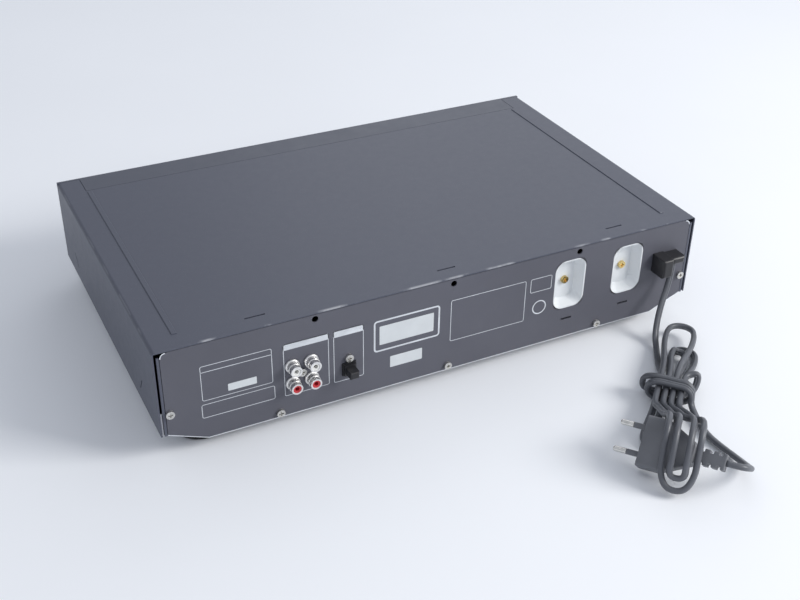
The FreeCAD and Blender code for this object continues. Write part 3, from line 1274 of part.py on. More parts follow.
def wraps(stops):
    # A wide turn on one side, then one turn and a half round the waist.
    stops.append((V(-18, SIDE + BEND + 1.5, MID), U * 0.5 - Z * 0.85))
    stops.append((V(-9, SIDE + 1.5, FLOOR), -W))
    stops.append((V(-5.5, -SIDE, FLOOR), -W))
    stops.append((V(-4.5, -SIDE - BEND - 4.5, MID - 1), Z))
    stops.append((V(-1.5, -SIDE, TOP), W))
    stops.append((V(-0.2, SIDE, TOP), W))
    stops.append((V(0.8, SIDE + BEND, MID), -Z))
    stops.append((V(1.8, SIDE, FLOOR), -W))
    stops.append((V(2.7, -SIDE, FLOOR), -W))
    stops.append((V(3.7, -SIDE - BEND, MID), Z))
    stops.append((V(4.7, -SIDE, TOP), W))
    stops.append((V(5.6, SIDE, TOP), W))
    stops.append((V(6.6, SIDE + BEND, MID), -Z))
    stops.append((V(17.6, SIDE + BEND + 6, FLOOR + 0.4), U * 0.9 + W * 0.43))
    stops.append((V(22.1, SIDE + BEND + 8.15, FLOOR + 0.4), U * 0.9 + W * 0.43))


def hank_stops():
    # Each stop: a place on the cord's middle line and its heading there.
    stops = [(V(-51, -15.5, FLOOR), U * 0.98 + W * 0.2), (V(-46, -14.5, FLOOR), U * 0.98 + W * 0.2)]
    waist(stops, 0, LOW, 1)
    half_loop(stops, 50, -11, 11, FLOOR, FLOOR, 1)
    waist(stops, 3, LOW, -1)
    half_loop(stops, -56, 12.5, -5.5, FLOOR, FLOOR, -1)
    waist(stops, 1, LOW, 1)
    half_loop(stops, 48, -5, 5, FLOOR, FLOOR, 1)
    waist(stops, 2, LOW, -1)
    half_loop(stops, -50, 5.5, -4.8, FLOOR + 0.5, FLOOR + PITCH + 2.4, -1)
    waist(stops, 1, HIGH, 1)
    over_plug(stops, 1, 2, 11.6, 21.4, 12.5)
    waist(stops, 2, HIGH, -1)
    half_loop(stops, -78, 8.5, -12.5, FLOOR + PITCH + 1, FLOOR + PITCH + 1, -1)
    waist(stops, 0, HIGH, 1)
    over_plug(stops, 0, 3, 5.4, 27.8, 4.5)
    waist(stops, 3, HIGH, -1)
    wraps(stops)
    return [(place_at, V(way).normalize()) for place_at, way in stops]


HANK = hank_stops()
HANK_START, START_WAY = HANK[0]
HANK_END, END_WAY = HANK[-1]
LEAD_POINTS = [V(-192.5, 141.0, 57.1), V(-192.5, 141.0, 42), V(-179.5, 149, 22), V(-170, 159, 6.5),
               hank_point(*(HANK_START - START_WAY * 11)), hank_point(*HANK_START)]
PLUG_FACE = V(-74.6, 271.6, 17.3)
PLUG_OUT = V(0.539, -0.836, -0.1).normalize()
PLUG_WIDE = V(-0.572, -0.45, 0.686)
TAIL_END = PLUG_FACE - PLUG_OUT * (size("plug_l") + size("relief_l"))
TAIL_RUN = [(40, 32.5, 2.9), (49, 39.5, 2.9), (57, 48.5, 3.2), (65, 56.5, 5), (74, 62.5, 10),
            (82, 64, 17.5)]
TAIL_POINTS = [hank_point(*HANK_END), hank_point(*(HANK_END + END_WAY * 8))]
TAIL_POINTS += [hank_point(*p) for p in TAIL_RUN] + [TAIL_END - PLUG_OUT * 12, TAIL_END]


def tangent_arc(start, way, end):
    # One arc from start to end that leaves along way, and the heading at its end.
    chord = end - start
    length = chord.Length
    chord.normalize()
    off = way - chord * way.dot(chord)
    angle = math.acos(max(-1, min(1, way.dot(chord))))
    if angle < 1e-4:
        return Part.LineSegment(start, end).toShape(), way, math.inf
    off.normalize()
    top = (start + end) * 0.5 + off * (length / 2 * math.tan(angle / 2))
    edge = Part.Arc(start, top, end).toShape()
    return edge, chord * (2 * way.dot(chord)) - way, length / 2 / math.sin(angle)


def arc_joint(start, way, end, end_way):
    # Where two tangent arcs between the two stops meet.
    gap = end - start
    a = 2 * (1 - way.dot(end_way))
    b = 2 * gap.dot(way + end_way)
    c = -gap.dot(gap)
    reach = -c / b if a < 1e-9 else (math.sqrt(b * b - 4 * a * c) - b) / (2 * a)
    return (start + way * reach + end - end_way * reach) * 0.5


def least_gap(edges):
    # Between parts of the cord that are not neighbours along it.
    points = []
    for edge in edges:
        steps = max(2, int(edge.Length / 1.2))
        points += edge.discretize(steps + 1)[:-1]
    along_it = [0]
    for before, after in zip(points, points[1:]):
        along_it.append(along_it[-1] + (after - before).Length)
    places = [tuple(point) for point in points]
    least = math.inf
    for i, here in enumerate(places):
        for j in range(i + 1, len(places)):
            if along_it[j] - along_it[i] > 12:
                least = min(least, math.dist(here, places[j]))
    return least - 2 * CORD_R


def cords():
    shaped("cord_lead", tube("cord_lead", LEAD_POINTS, CORD_R))
    hank()
    shaped("cord_tail", tube("cord_tail", TAIL_POINTS, CORD_R))


def hank():
    edges = []
    radii = []
    for (start, way), (end, end_way) in zip(HANK, HANK[1:]):
        joint = arc_joint(start, way, end, end_way)
        first, joint_way, first_r = tangent_arc(start, way, joint)
        second, _, second_r = tangent_arc(joint, joint_way, end)
        edges += [first, second]
        radii += [first_r, second_r]
    path = Part.Wire(edges)
    section = Part.Wire([Part.Circle(HANK_START, START_WAY, CORD_R).toShape()])
    solid = path.makePipeShell([section], True, False)
    share = solid.Volume / (math.pi * CORD_R ** 2 * path.Length)
    print(f"cord_hank: length {path.Length:.0f}, volume share {share:.4f}, least radius",
          f"{min(radii):.1f}, least gap {least_gap(edges):.2f}")
    c = HANK_CENTRE
    a = ALONG
    w = ACROSS
    solid.Placement = FreeCAD.Placement(FreeCAD.Matrix(a.x, w.x, 0, c.x, a.y, w.y, 0, c.y,
                                                       0, 0, 1, 0, 0, 0, 0, 1))
    shaped("cord_hank", solid)


def plug_placement():
    out = PLUG_OUT
    side = (PLUG_WIDE - out * PLUG_WIDE.dot(out)).normalize()
    up = out.cross(side)
    grid = FreeCAD.Matrix(out.x, side.x, up.x, PLUG_FACE.x, out.y, side.y, up.y, PLUG_FACE.y,
                          out.z, side.z, up.z, PLUG_FACE.z, 0, 0, 0, 1)
    return FreeCAD.Placement(grid)


def plug():
    # Local frame: X out along the pins, Y across both pins.
    part = Maker("plug_shell")
    sections = []
    for x, wide, thick in (("0", "plug_w", "plug_t"), ("-plug_flat", "plug_w", "plug_t"),
                           ("-plug_l", "plug_neck_w", "plug_neck_t")):
        sketch = part.sketch("YZ_Plane", x)
        centred("0", "0", wide, thick)(sketch)
        sections.append(sketch)
    loft = part.body.newObject("PartDesign::AdditiveLoft", "plug_loft")
    loft.Profile = sections[0]
    loft.Sections = sections[1:]
    loft.Ruled = True
    document.recompute()
    part.soften("Fillet", "2.2", lambda e: middle(e).x < -0.1 and abs(middle(e).y) > 2 and abs(middle(e).z) > 2)
    part.pad("YZ_Plane", "-plug_l - relief_l", "-plug_l + 1", centred("0", "0", "relief_w", "relief_t"))
    for k in range(3):
        low = f"-plug_l - 4 - {k}*6"
        part.pocket("XZ_Plane", "-relief_w", "-relief_w/2 + 2.2", rect(f"{low} - 2.2", low, "-8", "8"))
        part.pocket("XZ_Plane", "relief_w/2 - 2.2", "relief_w", rect(f"{low} - 2.2", low, "-8", "8"))
    part.body.Placement = plug_placement()
    sleeves = []
    pins = []
    for k in (-1, 1):
        y = f"({k})*pin_pitch/2"
        sleeve = rod(f"sleeve{k + 2}", X_AXIS, "pin_r", "pin_sleeve", "0", y, "0")
        hole = rod(f"sleeve_hole{k + 2}", X_AXIS, "pin_r - 0.5", "pin_sleeve", "0", y, "0")
        sleeves.append(cut(f"sleeve_cut{k + 2}", sleeve, [hole]))
        core = rod(f"pin_core{k + 2}", X_AXIS, "pin_r - 0.5", "pin_sleeve + 0.1", "0", y, "0")
        tip = rod(f"pin_tip{k + 2}", X_AXIS, "pin_r", "pin_l - pin_sleeve - pin_r", "pin_sleeve", y, "0")
        ball = document.addObject("Part::Sphere", f"pin_ball{k + 2}")
        ball.setExpression("Radius", bound("pin_r"))
        place(ball, "pin_l - pin_r", y, "0")
        pins.append(join(f"pin{k + 2}", [core, tip, ball]))
    sleeve_group = together("sleeve_group", sleeves)
    sleeve_group.Placement = plug_placement()
    keep(together("plug_group", [part.body, sleeve_group]), "plug_body")
    pin_group = together("pin_group", pins)
    pin_group.Placement = plug_placement()
    keep(pin_group, "plug_pins")


def build_all():
    top_cover()
    bottom_chassis()
    rear_panel()
    front_panel()
    slot_door()
    display_window()
    display_tube()
    front_board()
    board_parts()
    for key in KEYS:
        button(*key)
    jog_sleeve()
    level_knob("record_level_knob", "level_x", "level_z", "level_r", "level_reach")
    level_knob("phones_level_knob", "phones_x", "phones_z", "phones_r", "level_reach")
    jog_knob()
    phones_socket()
    feet = [foot(f"foot{k}", x, y) for k, (x, y) in enumerate(FOOT_PLACES)]
    keep(together("foot_group", feet), "feet")
    screws()
    mech_frame()
    mech_supports()
    spindle()
    motors = [sled()]
    holder()
    slider()
    head_arm()
    motors.append(loading_drive())
    keep(together("motor_group", motors), "drive_motors")
    main_board()
    components()
    transformer()
    keep(together("socket_group", [line_jacks(), optical_input()]), "rear_sockets")
    cups()
    strain_relief()
    cords()
    plug()


def check_and_write():
    document.recompute()
    for item in document.Objects:
        if "Invalid" in item.State or "Error" in item.State:
            raise RuntimeError(f"{item.Name} failed: {item.State}")
    os.makedirs("parts", exist_ok=True)
    for item in SUB_PARTS:
        shape = item.Shape
        if shape.isNull() or not shape.isValid() or not shape.Solids:
            raise RuntimeError(f"{item.Label} has no valid solid")
        shape.exportStep(os.path.join("parts", f"{item.Label}.step"))
    print(len(SUB_PARTS), "sub-parts")


build_all()
check_and_write()
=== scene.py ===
import json
import math

import bmesh
import bpy
from mathutils import Matrix, Vector


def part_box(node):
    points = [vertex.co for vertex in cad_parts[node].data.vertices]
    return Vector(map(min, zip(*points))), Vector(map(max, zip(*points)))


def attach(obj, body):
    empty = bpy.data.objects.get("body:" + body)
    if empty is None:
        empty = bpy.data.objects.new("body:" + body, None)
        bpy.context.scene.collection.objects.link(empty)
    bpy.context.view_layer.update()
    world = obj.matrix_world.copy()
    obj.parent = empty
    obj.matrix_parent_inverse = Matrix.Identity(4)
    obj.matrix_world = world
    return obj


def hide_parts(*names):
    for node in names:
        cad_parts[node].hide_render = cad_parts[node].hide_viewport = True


# A minidisc deck seen from above and behind. Places are in millimetres and turned into metres by mm().

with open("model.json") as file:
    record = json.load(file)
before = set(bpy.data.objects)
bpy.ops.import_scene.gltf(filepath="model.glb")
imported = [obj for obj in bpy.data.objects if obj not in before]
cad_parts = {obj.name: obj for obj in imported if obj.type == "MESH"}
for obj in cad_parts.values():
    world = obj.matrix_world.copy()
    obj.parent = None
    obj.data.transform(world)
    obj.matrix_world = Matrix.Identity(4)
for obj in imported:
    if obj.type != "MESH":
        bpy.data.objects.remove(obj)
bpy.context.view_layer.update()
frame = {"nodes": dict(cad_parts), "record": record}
nodes = frame["nodes"]

BODIES = frame["record"]["behaviour"]["bodies"]
BODY_OF = {node: body for body, members in BODIES.items() for node in members}


def mm(x, y, z):
    return Vector((x, y, z)) * 0.001


def box_mm(node):
    # The lowest and the highest corner of a node, in millimetres.
    return [corner * 1000 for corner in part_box(node)]


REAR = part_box("rear_panel")[1].y * 1000
COVER_LOW, COVER_HIGH = box_mm("top_cover")


# Camera

PICTURE_WIDE = 800
FOCAL_PIXELS = 1167.69
CAMERA_PLACE = (347.96, 741.16, 512.92)
CAMERA_TURNS = (206.909, -32.357, 0.817)


def camera():
    yaw, pitch, roll = (math.radians(a) for a in CAMERA_TURNS)
    ahead = Vector((math.sin(yaw) * math.cos(pitch), math.cos(yaw) * math.cos(pitch), math.sin(pitch)))
    level = ahead.cross(Vector((0, 0, 1))).normalized()
    over = level.cross(ahead)
    right = math.cos(roll) * level + math.sin(roll) * over
    up = math.cos(roll) * over - math.sin(roll) * level
    data = bpy.data.cameras.new("camera")
    data.lens = data.sensor_width * FOCAL_PIXELS / PICTURE_WIDE
    item = bpy.data.objects.new("camera", data)
    bpy.context.scene.collection.objects.link(item)
    turn = Matrix((right, up, -ahead)).transposed().to_4x4()
    item.matrix_world = Matrix.Translation(mm(*CAMERA_PLACE)) @ turn
    bpy.context.scene.camera = item


# Materials

# Most of a noise texture's values lie between these.
NOISE_LOW, NOISE_HIGH = 0.3, 0.7


class Finish:
    """A node material with a grain in its colour, roughness and bump."""

    def __init__(self, name, roughness=0.5, metallic=0.0):
        self.material = bpy.data.materials.new(name)
        self.material.use_nodes = True
        self.tree = self.material.node_tree
        self.shader = self.tree.nodes["Principled BSDF"]
        self.shader.inputs["Roughness"].default_value = roughness
        self.shader.inputs["Metallic"].default_value = metallic
        self.places = self.node("ShaderNodeTexCoord").outputs["Object"]
        self.height = None

    def node(self, kind, **values):
        made = self.tree.nodes.new(kind)
        for key, value in values.items():
            setattr(made, key, value)
        return made

    def link(self, source, target):
        self.tree.links.new(source, target)

    def feed(self, socket, value):
        # The value is another node's output, a colour or a number.
        if isinstance(value, bpy.types.NodeSocket):
            self.link(value, socket)
        elif isinstance(value, tuple):
            socket.default_value = (*value, 1.0)
        else:
            socket.default_value = value

    def stretched(self, x, y, z):
        mapping = self.node("ShaderNodeMapping")
        mapping.inputs["Scale"].default_value = (x, y, z)
        self.link(self.places, mapping.inputs["Vector"])
        return mapping.outputs["Vector"]

    def noise(self, scale, detail=4.0, places=None):
        made = self.node("ShaderNodeTexNoise")
        made.inputs["Scale"].default_value = scale
        made.inputs["Detail"].default_value = detail
        self.link(places or self.places, made.inputs["Vector"])
        return made.outputs["Fac"]

    def ramp(self, value, low, dark, high, light):
        made = self.node("ShaderNodeValToRGB")
        for element, place, colour in zip(made.color_ramp.elements, (low, high), (dark, light)):
            element.position = place
            element.color = (*colour, 1.0)
        self.link(value, made.inputs["Fac"])
        return made.outputs["Color"]

    def tones(self, value, dark, light):
        return self.ramp(value, NOISE_LOW, dark, NOISE_HIGH, light)

    def mask(self, value, low, high):
        return self.ramp(value, low, (0, 0, 0), high, (1, 1, 1))

    def span(self, value, low, high, start=NOISE_LOW, end=NOISE_HIGH):
        made = self.node("ShaderNodeMapRange")
        made.inputs["From Min"].default_value = start
        made.inputs["From Max"].default_value = end
        made.inputs["To Min"].default_value = low
        made.inputs["To Max"].default_value = high
        self.link(value, made.inputs["Value"])
        return made.outputs["Result"]

    def maths(self, operation, *values):
        made = self.node("ShaderNodeMath", operation=operation)
        for socket, value in zip(made.inputs, values):
            self.feed(socket, value)
        return made.outputs[0]

    def mixed(self, share, one, other):
        made = self.node("ShaderNodeMix", data_type="RGBA")
        for socket, value in zip((made.inputs[0], made.inputs[6], made.inputs[7]), (share, one, other)):
            self.feed(socket, value)
        return made.outputs[2]

    def near(self, axis, place, reach):
        # 1 at that place along the axis, falling to 0 a reach away.
        split = self.node("ShaderNodeSeparateXYZ")
        self.link(self.places, split.inputs["Vector"])
        away = self.maths("ABSOLUTE", self.maths("SUBTRACT", split.outputs[axis], place))
        return self.span(away, 1.0, 0.0, start=0.0, end=reach)

    def product(self, first, *others):
        for value in others:
            first = self.maths("MULTIPLY", first, value)
        return first

    def colour(self, source):
        self.link(source, self.shader.inputs["Base Color"])

    def rough(self, source):
        self.link(source, self.shader.inputs["Roughness"])

    def bump(self, value, depth, strength=0.4):
        made = self.node("ShaderNodeBump")
        made.inputs["Distance"].default_value = depth
        made.inputs["Strength"].default_value = strength
        self.link(value, made.inputs["Height"])
        if self.height:
            self.link(self.height, made.inputs["Normal"])
        self.height = made.outputs["Normal"]
        self.link(self.height, self.shader.inputs["Normal"])


def tint(colour, share):
    return tuple(min(1.0, part * share) for part in colour)


def grained(name, colour, low, high, grain=900, depth=0.00004, blotch=14, swing=0.12, metallic=0.0):
    # Colour in soft blotches, roughness between low and high, and a fine bump.
    made = Finish(name, metallic=metallic)
    made.colour(made.tones(made.noise(blotch), tint(colour, 1 - swing), tint(colour, 1 + swing)))
    made.rough(made.span(made.noise(blotch * 6), low, high))
    made.bump(made.noise(grain, detail=2), depth)
    return made


def brushed(name, colour, low, high, along=(30, 900, 900)):
    # Bare metal with fine lines in its colour, roughness and bump.
    made = Finish(name, metallic=1.0)
    lines = made.noise(1.0, detail=6, places=made.stretched(*along))
    made.colour(made.tones(lines, tint(colour, 0.85), tint(colour, 1.08)))
    made.rough(made.span(lines, low, high))
    made.bump(lines, 0.00002, 0.25)
    return made


COVER_COLOUR = (0.075, 0.082, 0.112)
SPECK_COLOUR = (0.16, 0.17, 0.2)
# Bare colour and reaches of the rubbed top edges: wear on the end edge, wear and a painted highlight on the
# rear edge.
BARE_AND_HIGHLIGHT_COLOUR = (0.62, 0.63, 0.66)
WEAR_AND_HIGHLIGHT_HIGH, REAR_WEAR_AND_HIGHLIGHT_WIDE = 0.0016, 0.0022


def cover_paint():
    # Satin blue-grey paint with specks of dust, rubbed to bare metal along two of its top edges. Along the
    # rear top edge the bare colour is both wear and a painted highlight.
    made = Finish("cover_paint", roughness=0.42)
    blotches = made.tones(made.noise(4), tint(COVER_COLOUR, 0.97), tint(COVER_COLOUR, 1.03))
    specks = made.mask(made.noise(2400, detail=1), 0.70, 0.78)
    dusty = made.mixed(specks, blotches, SPECK_COLOUR)
    patches = made.mask(made.noise(38, detail=9), 0.52, 0.62)
    top = made.near("Z", COVER_HIGH.z / 1000, WEAR_AND_HIGHLIGHT_HIGH)
    # Along the rear top edge the bare colour is rubbed paint and also a painted highlight on the edge.
    rear = made.product(made.near("Y", COVER_HIGH.y / 1000, REAR_WEAR_AND_HIGHLIGHT_WIDE), top, patches)
    end = made.product(made.near("X", COVER_HIGH.x / 1000, WEAR_AND_HIGHLIGHT_HIGH), top, patches)
    made.colour(made.mixed(rear, made.mixed(end, dusty, BARE_AND_HIGHLIGHT_COLOUR), BARE_AND_HIGHLIGHT_COLOUR))
    made.rough(made.span(made.noise(160), 0.42, 0.46))
    made.bump(made.noise(1500, detail=2), 0.00003, 0.3)
    made.shader.inputs["Specular IOR Level"].default_value = 0.45
    return made


def banded(made, scale, depth, strength, direction):
    # Even ridges, as of a winding's turns or a core's sheets.
    bands = made.node("ShaderNodeTexWave", bands_direction=direction)
    bands.inputs["Scale"].default_value = scale
    made.link(made.places, bands.inputs["Vector"])
    made.bump(bands.outputs["Fac"], depth, strength)
    return made


def glass(name, colour, share):
    made = grained(name, colour, 0.03, 0.1, grain=300, depth=0.00001)
    made.shader.inputs["Transmission Weight"].default_value = share
    made.shader.inputs["IOR"].default_value = 1.49
    return made


MASK_COLOUR = (0.035, 0.13, 0.07)
TRACK_COLOUR = (0.07, 0.24, 0.12)


def circuit_board():
    # Solder mask with lighter tracks.
    made = grained("circuit_board", MASK_COLOUR, 0.35, 0.5)
    cells = made.node("ShaderNodeTexVoronoi", distance="MANHATTAN", feature="DISTANCE_TO_EDGE")
    cells.inputs["Scale"].default_value = 160
    made.link(made.places, cells.inputs["Vector"])
    tracks = made.mask(cells.outputs["Distance"], 0.03, 0.06)
    made.colour(made.mixed(tracks, TRACK_COLOUR, MASK_COLOUR))
    made.bump(cells.outputs["Distance"], 0.0001, 0.2)
    return made


def cord_rubber():
    made = grained("cord_rubber", (0.1, 0.106, 0.122), 0.32, 0.46, grain=1300, blotch=60, swing=0.12)
    scuffs = made.mask(made.noise(120, detail=6), 0.66, 0.72)
    made.bump(scuffs, 0.00003, 0.3)
    return made


def finishes():
    made = {
        "cover_paint": cover_paint(),
        "rear_paint": grained("rear_paint", (0.088, 0.09, 0.112), 0.45, 0.6,
                              grain=1800, blotch=9, swing=0.07),
        "steel": brushed("zinc_steel", (0.5, 0.51, 0.54), 0.3, 0.5),
        "fascia": grained("fascia_paint", (0.072, 0.079, 0.106), 0.42, 0.48, grain=2200, swing=0.04),
        "smoked": glass("smoked_window", (0.05, 0.05, 0.06), 0.75),
        "key": grained("key_plastic", (0.045, 0.046, 0.052), 0.3, 0.42, grain=1800),
        "knob": grained("knob_plastic", (0.04, 0.041, 0.047), 0.25, 0.4, grain=1500),
        "rubber": grained("foot_rubber", (0.018, 0.018, 0.02), 0.7, 0.9, grain=1200),
        "black_plastic": grained("black_plastic", (0.016, 0.016, 0.019), 0.32, 0.5, grain=1500),
        "chrome": brushed("plated_shell", (0.86, 0.85, 0.84), 0.28, 0.42, along=(900, 40, 900)),
        "white": grained("white_insert", (0.78, 0.78, 0.76), 0.35, 0.5),
        "red": grained("red_insert", (0.55, 0.035, 0.045), 0.35, 0.5),
        "brass": brushed("brass_plating", (0.72, 0.56, 0.24), 0.18, 0.34, along=(300, 300, 300)),
        "screw": brushed("zinc_screw", (0.66, 0.65, 0.62), 0.2, 0.4, along=(400, 400, 400)),
        "cup": grained("cup_plastic", (0.7, 0.725, 0.745), 0.5, 0.62, grain=900, swing=0.04),
        "board": circuit_board(),
        "chip": grained("chip_epoxy", (0.02, 0.02, 0.022), 0.5, 0.7),
        "capacitor": grained("capacitor_sleeve", (0.03, 0.04, 0.09), 0.25, 0.4),
        "core": banded(grained("core_sheets", (0.16, 0.15, 0.15), 0.4, 0.6, metallic=0.7),
                       500, 0.0002, 0.5, "Y"),
        "coil": banded(grained("copper_windings", (0.5, 0.22, 0.09), 0.3, 0.45, metallic=0.6),
                       420, 0.0003, 0.6, "X"),
        "tube_glass": glass("tube_glass", (0.25, 0.3, 0.3), 0.4),
        "motor": brushed("motor_can", (0.6, 0.6, 0.6), 0.25, 0.4),
        "white_part": grained("acetal", (0.72, 0.71, 0.66), 0.4, 0.55),
        "lens": glass("lens_glass", (0.2, 0.22, 0.35), 0.8),
        "cord": cord_rubber(),
        "plug": grained("plug_plastic", (0.145, 0.151, 0.168), 0.42, 0.56, grain=1600, blotch=50),
        "pin": brushed("nickel_pin", (0.74, 0.73, 0.7), 0.14, 0.28, along=(400, 400, 400)),
        "print_ink": grained("print_ink", (0.6, 0.63, 0.67), 0.5, 0.6, blotch=80),
        "label_paper": grained("label_paper", (0.6, 0.63, 0.65), 0.4, 0.55, blotch=60, swing=0.05),
        "bare_metal": brushed("bare_metal", (0.85, 0.87, 0.9), 0.3, 0.45),
    }
    return {name: finish.material for name, finish in made.items()}


def dress(materials):
    for part in frame["record"]["subparts"]:
        for place in nodes[part["node"]].material_slots:
            place.material = materials[part["material_slot"]]


# Shapes

def piece(name, mesh, materials, slot, body="deck"):
    item = bpy.data.objects.new(name, mesh)
    bpy.context.scene.collection.objects.link(item)
    mesh.materials.append(materials[slot])
    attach(item, body)
    return item


def circle(x, z, radius, steps):
    turns = (math.tau * k / steps for k in range(steps))
    return [(x + radius * math.cos(turn), z + radius * math.sin(turn)) for turn in turns]


def add_row(shape, outline, y):
    # Corners at the outline's places, all at one distance along Y.
    return [shape.verts.new(mm(x, y, z)) for x, z in outline]


def add_sheet(shape, outline, y):
    shape.faces.new(add_row(shape, outline, y))


def add_bands(shape, rows):
    # Faces all round between each closed row of corners and the next.
    for one, other in zip(rows, rows[1:]):
        for k in range(len(one)):
            j = (k + 1) % len(one)
            shape.faces.new((one[k], one[j], other[j], other[k]))


def add_slab(shape, x0, x1, y0, y1, z0, z1):
    corners = [shape.verts.new(mm(x, y, z)) for x in (x0, x1) for y in (y0, y1) for z in (z0, z1)]
    for face in ((0, 1, 3, 2), (4, 6, 7, 5), (0, 4, 5, 1), (2, 3, 7, 6), (0, 2, 6, 4), (1, 5, 7, 3)):
        shape.faces.new([corners[k] for k in face])


def finished_mesh(name, shape, smooth=False):
    bmesh.ops.recalc_face_normals(shape, faces=shape.faces)
    mesh = bpy.data.meshes.new(name)
    shape.to_mesh(mesh)
    shape.free()
    for face in mesh.polygons:
        face.use_smooth = smooth
    return mesh


# Mains cord

CORD_WIDE, CORD_THICK = 5.1, 4.1
CORE_STEPS, CORE_SWEEP, GROOVE = 7, 210, 0.86
LINE_STEPS, LEAST_STEP = 10, 0.0002
CORD_EXIT = (-192.5, 141.0, 57.1)
LEAD = [CORD_EXIT, (-192.5, 141.0, 42), (-179.5, 149, 22), (-170, 159, 6.5), (-164.67, 168.7, 2.55)]

# In the hank u runs along it, w across it and z up; PITCH is the distance between strands.
U, W, Z = Vector((1, 0, 0)), Vector((0, 1, 0)), Vector((0, 0, 1))
HANK_CENTRE = Vector((-133.5, REAR + 91.4, 0))
PITCH = 5.3
COLUMN_SHARE = 1.05
FLOOR = 2.55
LOW, HIGH, TOP = FLOOR + PITCH, FLOOR + 2 * PITCH, FLOOR + 3 * PITCH
MID = (FLOOR + TOP) / 2
SIDE = 1.5 * PITCH
BEND = (TOP - FLOOR) / 2
WAIST_ENDS = (-11, 17)

# The strands over the plug climb, run over it, drop and turn back; each has a place and a heading.
CLIMB_U, CLIMB_Z, CLIMB_RUN, CLIMB_WAY = 44, 22.5, 57, U * 0.9 + Z * 0.42
OVER_U, OVER_Z, OVER_WAY = 76, 39.1, U * 0.97 + Z * 0.05
DROP_U, DROP_Z, DROP_WAY = 94.5, 15, U * 0.5 - Z * 0.86
TURN_U, TURN_OUT, TURN_UP = 97, 0.6, 0.1

ENTRY_WAY = U * 0.98 + W * 0.2
LEAVING_WAY = U * 0.9 + W * 0.43
ENTRY = [((-51, -15.5, FLOOR), ENTRY_WAY), ((-46, -14.5, FLOOR), ENTRY_WAY)]

# A wide turn on one side, then one turn and a half round the waist.
WRAPS = [((-18, SIDE + BEND + 1.5, MID), U * 0.5 - Z * 0.85), ((-9, SIDE + 1.5, FLOOR), -W),
         ((-5.5, -SIDE, FLOOR), -W), ((-4.5, -SIDE - BEND - 4.5, MID - 1), Z),
         ((-1.5, -SIDE, TOP), W), ((-0.2, SIDE, TOP), W), ((0.8, SIDE + BEND, MID), -Z),
         ((1.8, SIDE, FLOOR), -W), ((2.7, -SIDE, FLOOR), -W), ((3.7, -SIDE - BEND, MID), Z),
         ((4.7, -SIDE, TOP), W), ((5.6, SIDE, TOP), W), ((6.6, SIDE + BEND, MID), -Z),
         ((17.6, SIDE + BEND + 6, FLOOR + 0.4), LEAVING_WAY),
         ((22.1, SIDE + BEND + 8.15, FLOOR + 0.4), LEAVING_WAY)]

TAIL_START = 8
TAIL_RUN = [(38, 34.5, 2.9), (45, 42.5, 2.9), (52, 51, 3), (60, 57.5, 5), (70, 61.5, 10), (80, 61.5, 18)]
TAIL_STRAIGHT = 10
PLUG_FACE = Vector((-74.6, 271.6, 17.3))
PLUG_OUT = Vector((0.539, -0.836, -0.1)).normalized()
PLUG_LONG = 56


def hank_point(place):
    half = math.sqrt(0.5)
    along, across = Vector((half, half, 0)), Vector((-half, half, 0))
    return HANK_CENTRE + along * place.x + across * place.y + Z * place.z


def column(k):
    return (k - 1.5) * PITCH * COLUMN_SHARE


def half_loop(u, w_from, w_to, z_from, z_to, way):
    radius = abs(w_to - w_from) / 2
    side = 1 if w_to > w_from else -1
    return [((u, w_from, z_from), U * way),
            ((u + way * radius, (w_from + w_to) / 2, (z_from + z_to) / 2), W * side),
            ((u, w_to, z_to), U * -way)]


def waist(k, z, way):
    return [((u, column(k), z), U * way) for u in WAIST_ENDS[::way]]


def over_plug(k, j, near_w, far_w, low):
    radius = (far_w - near_w) / 2
    lean_near = W * ((near_w - column(k)) / CLIMB_RUN)
    lean_far = W * ((far_w - column(j)) / CLIMB_RUN)
    return [((CLIMB_U, (column(k) + near_w) / 2, CLIMB_Z), CLIMB_WAY + lean_near),
            ((OVER_U, near_w, OVER_Z), OVER_WAY),
            ((DROP_U, near_w, low + DROP_Z), DROP_WAY),
            ((TURN_U + radius * TURN_OUT, near_w + radius, low + radius * TURN_UP), W),
            ((DROP_U, far_w, low + DROP_Z), -DROP_WAY),
            ((OVER_U, far_w, OVER_Z), -OVER_WAY),
            ((CLIMB_U, (column(j) + far_w) / 2, CLIMB_Z), -(CLIMB_WAY + lean_far))]


def hank_stops():
    # Each stop is a place on the cord's middle line and its heading there.
    stops = (ENTRY
             + waist(0, LOW, 1) + half_loop(50, -11, 11, FLOOR, FLOOR, 1)
             + waist(3, LOW, -1) + half_loop(-56, 12.5, -5.5, FLOOR, FLOOR, -1)
             + waist(1, LOW, 1) + half_loop(48, -5, 5, FLOOR, FLOOR, 1)
             + waist(2, LOW, -1) + half_loop(-50, 5.5, -4.8, FLOOR + 0.5, FLOOR + PITCH + 2.4, -1)
             + waist(1, HIGH, 1) + over_plug(1, 2, 11.6, 21.4, 12.5)
             + waist(2, HIGH, -1) + half_loop(-78, 8.5, -12.5, FLOOR + PITCH + 1, FLOOR + PITCH + 1, -1)
             + waist(0, HIGH, 1) + over_plug(0, 3, 5.4, 27.8, 4.5)
             + waist(3, HIGH, -1) + WRAPS)
    return [(Vector(place), way.normalized()) for place, way in stops]


def hank_route():
    # Between two stops the spline has two control points, one on each stop's heading.
    stops = hank_stops()
    route = []
    for (start, way), (end, end_way) in zip(stops, stops[1:]):
        gap = end - start
        a = 2 * (1 - way.dot(end_way))
        b = 2 * gap.dot(way + end_way)
        c = -gap.dot(gap)
        reach = -c / b if a < 1e-9 else (math.sqrt(b * b - 4 * a * c) - b) / (2 * a)
        route += [start + way * reach, end - end_way * reach]
    return [hank_point(place) for place in route], stops[-1]


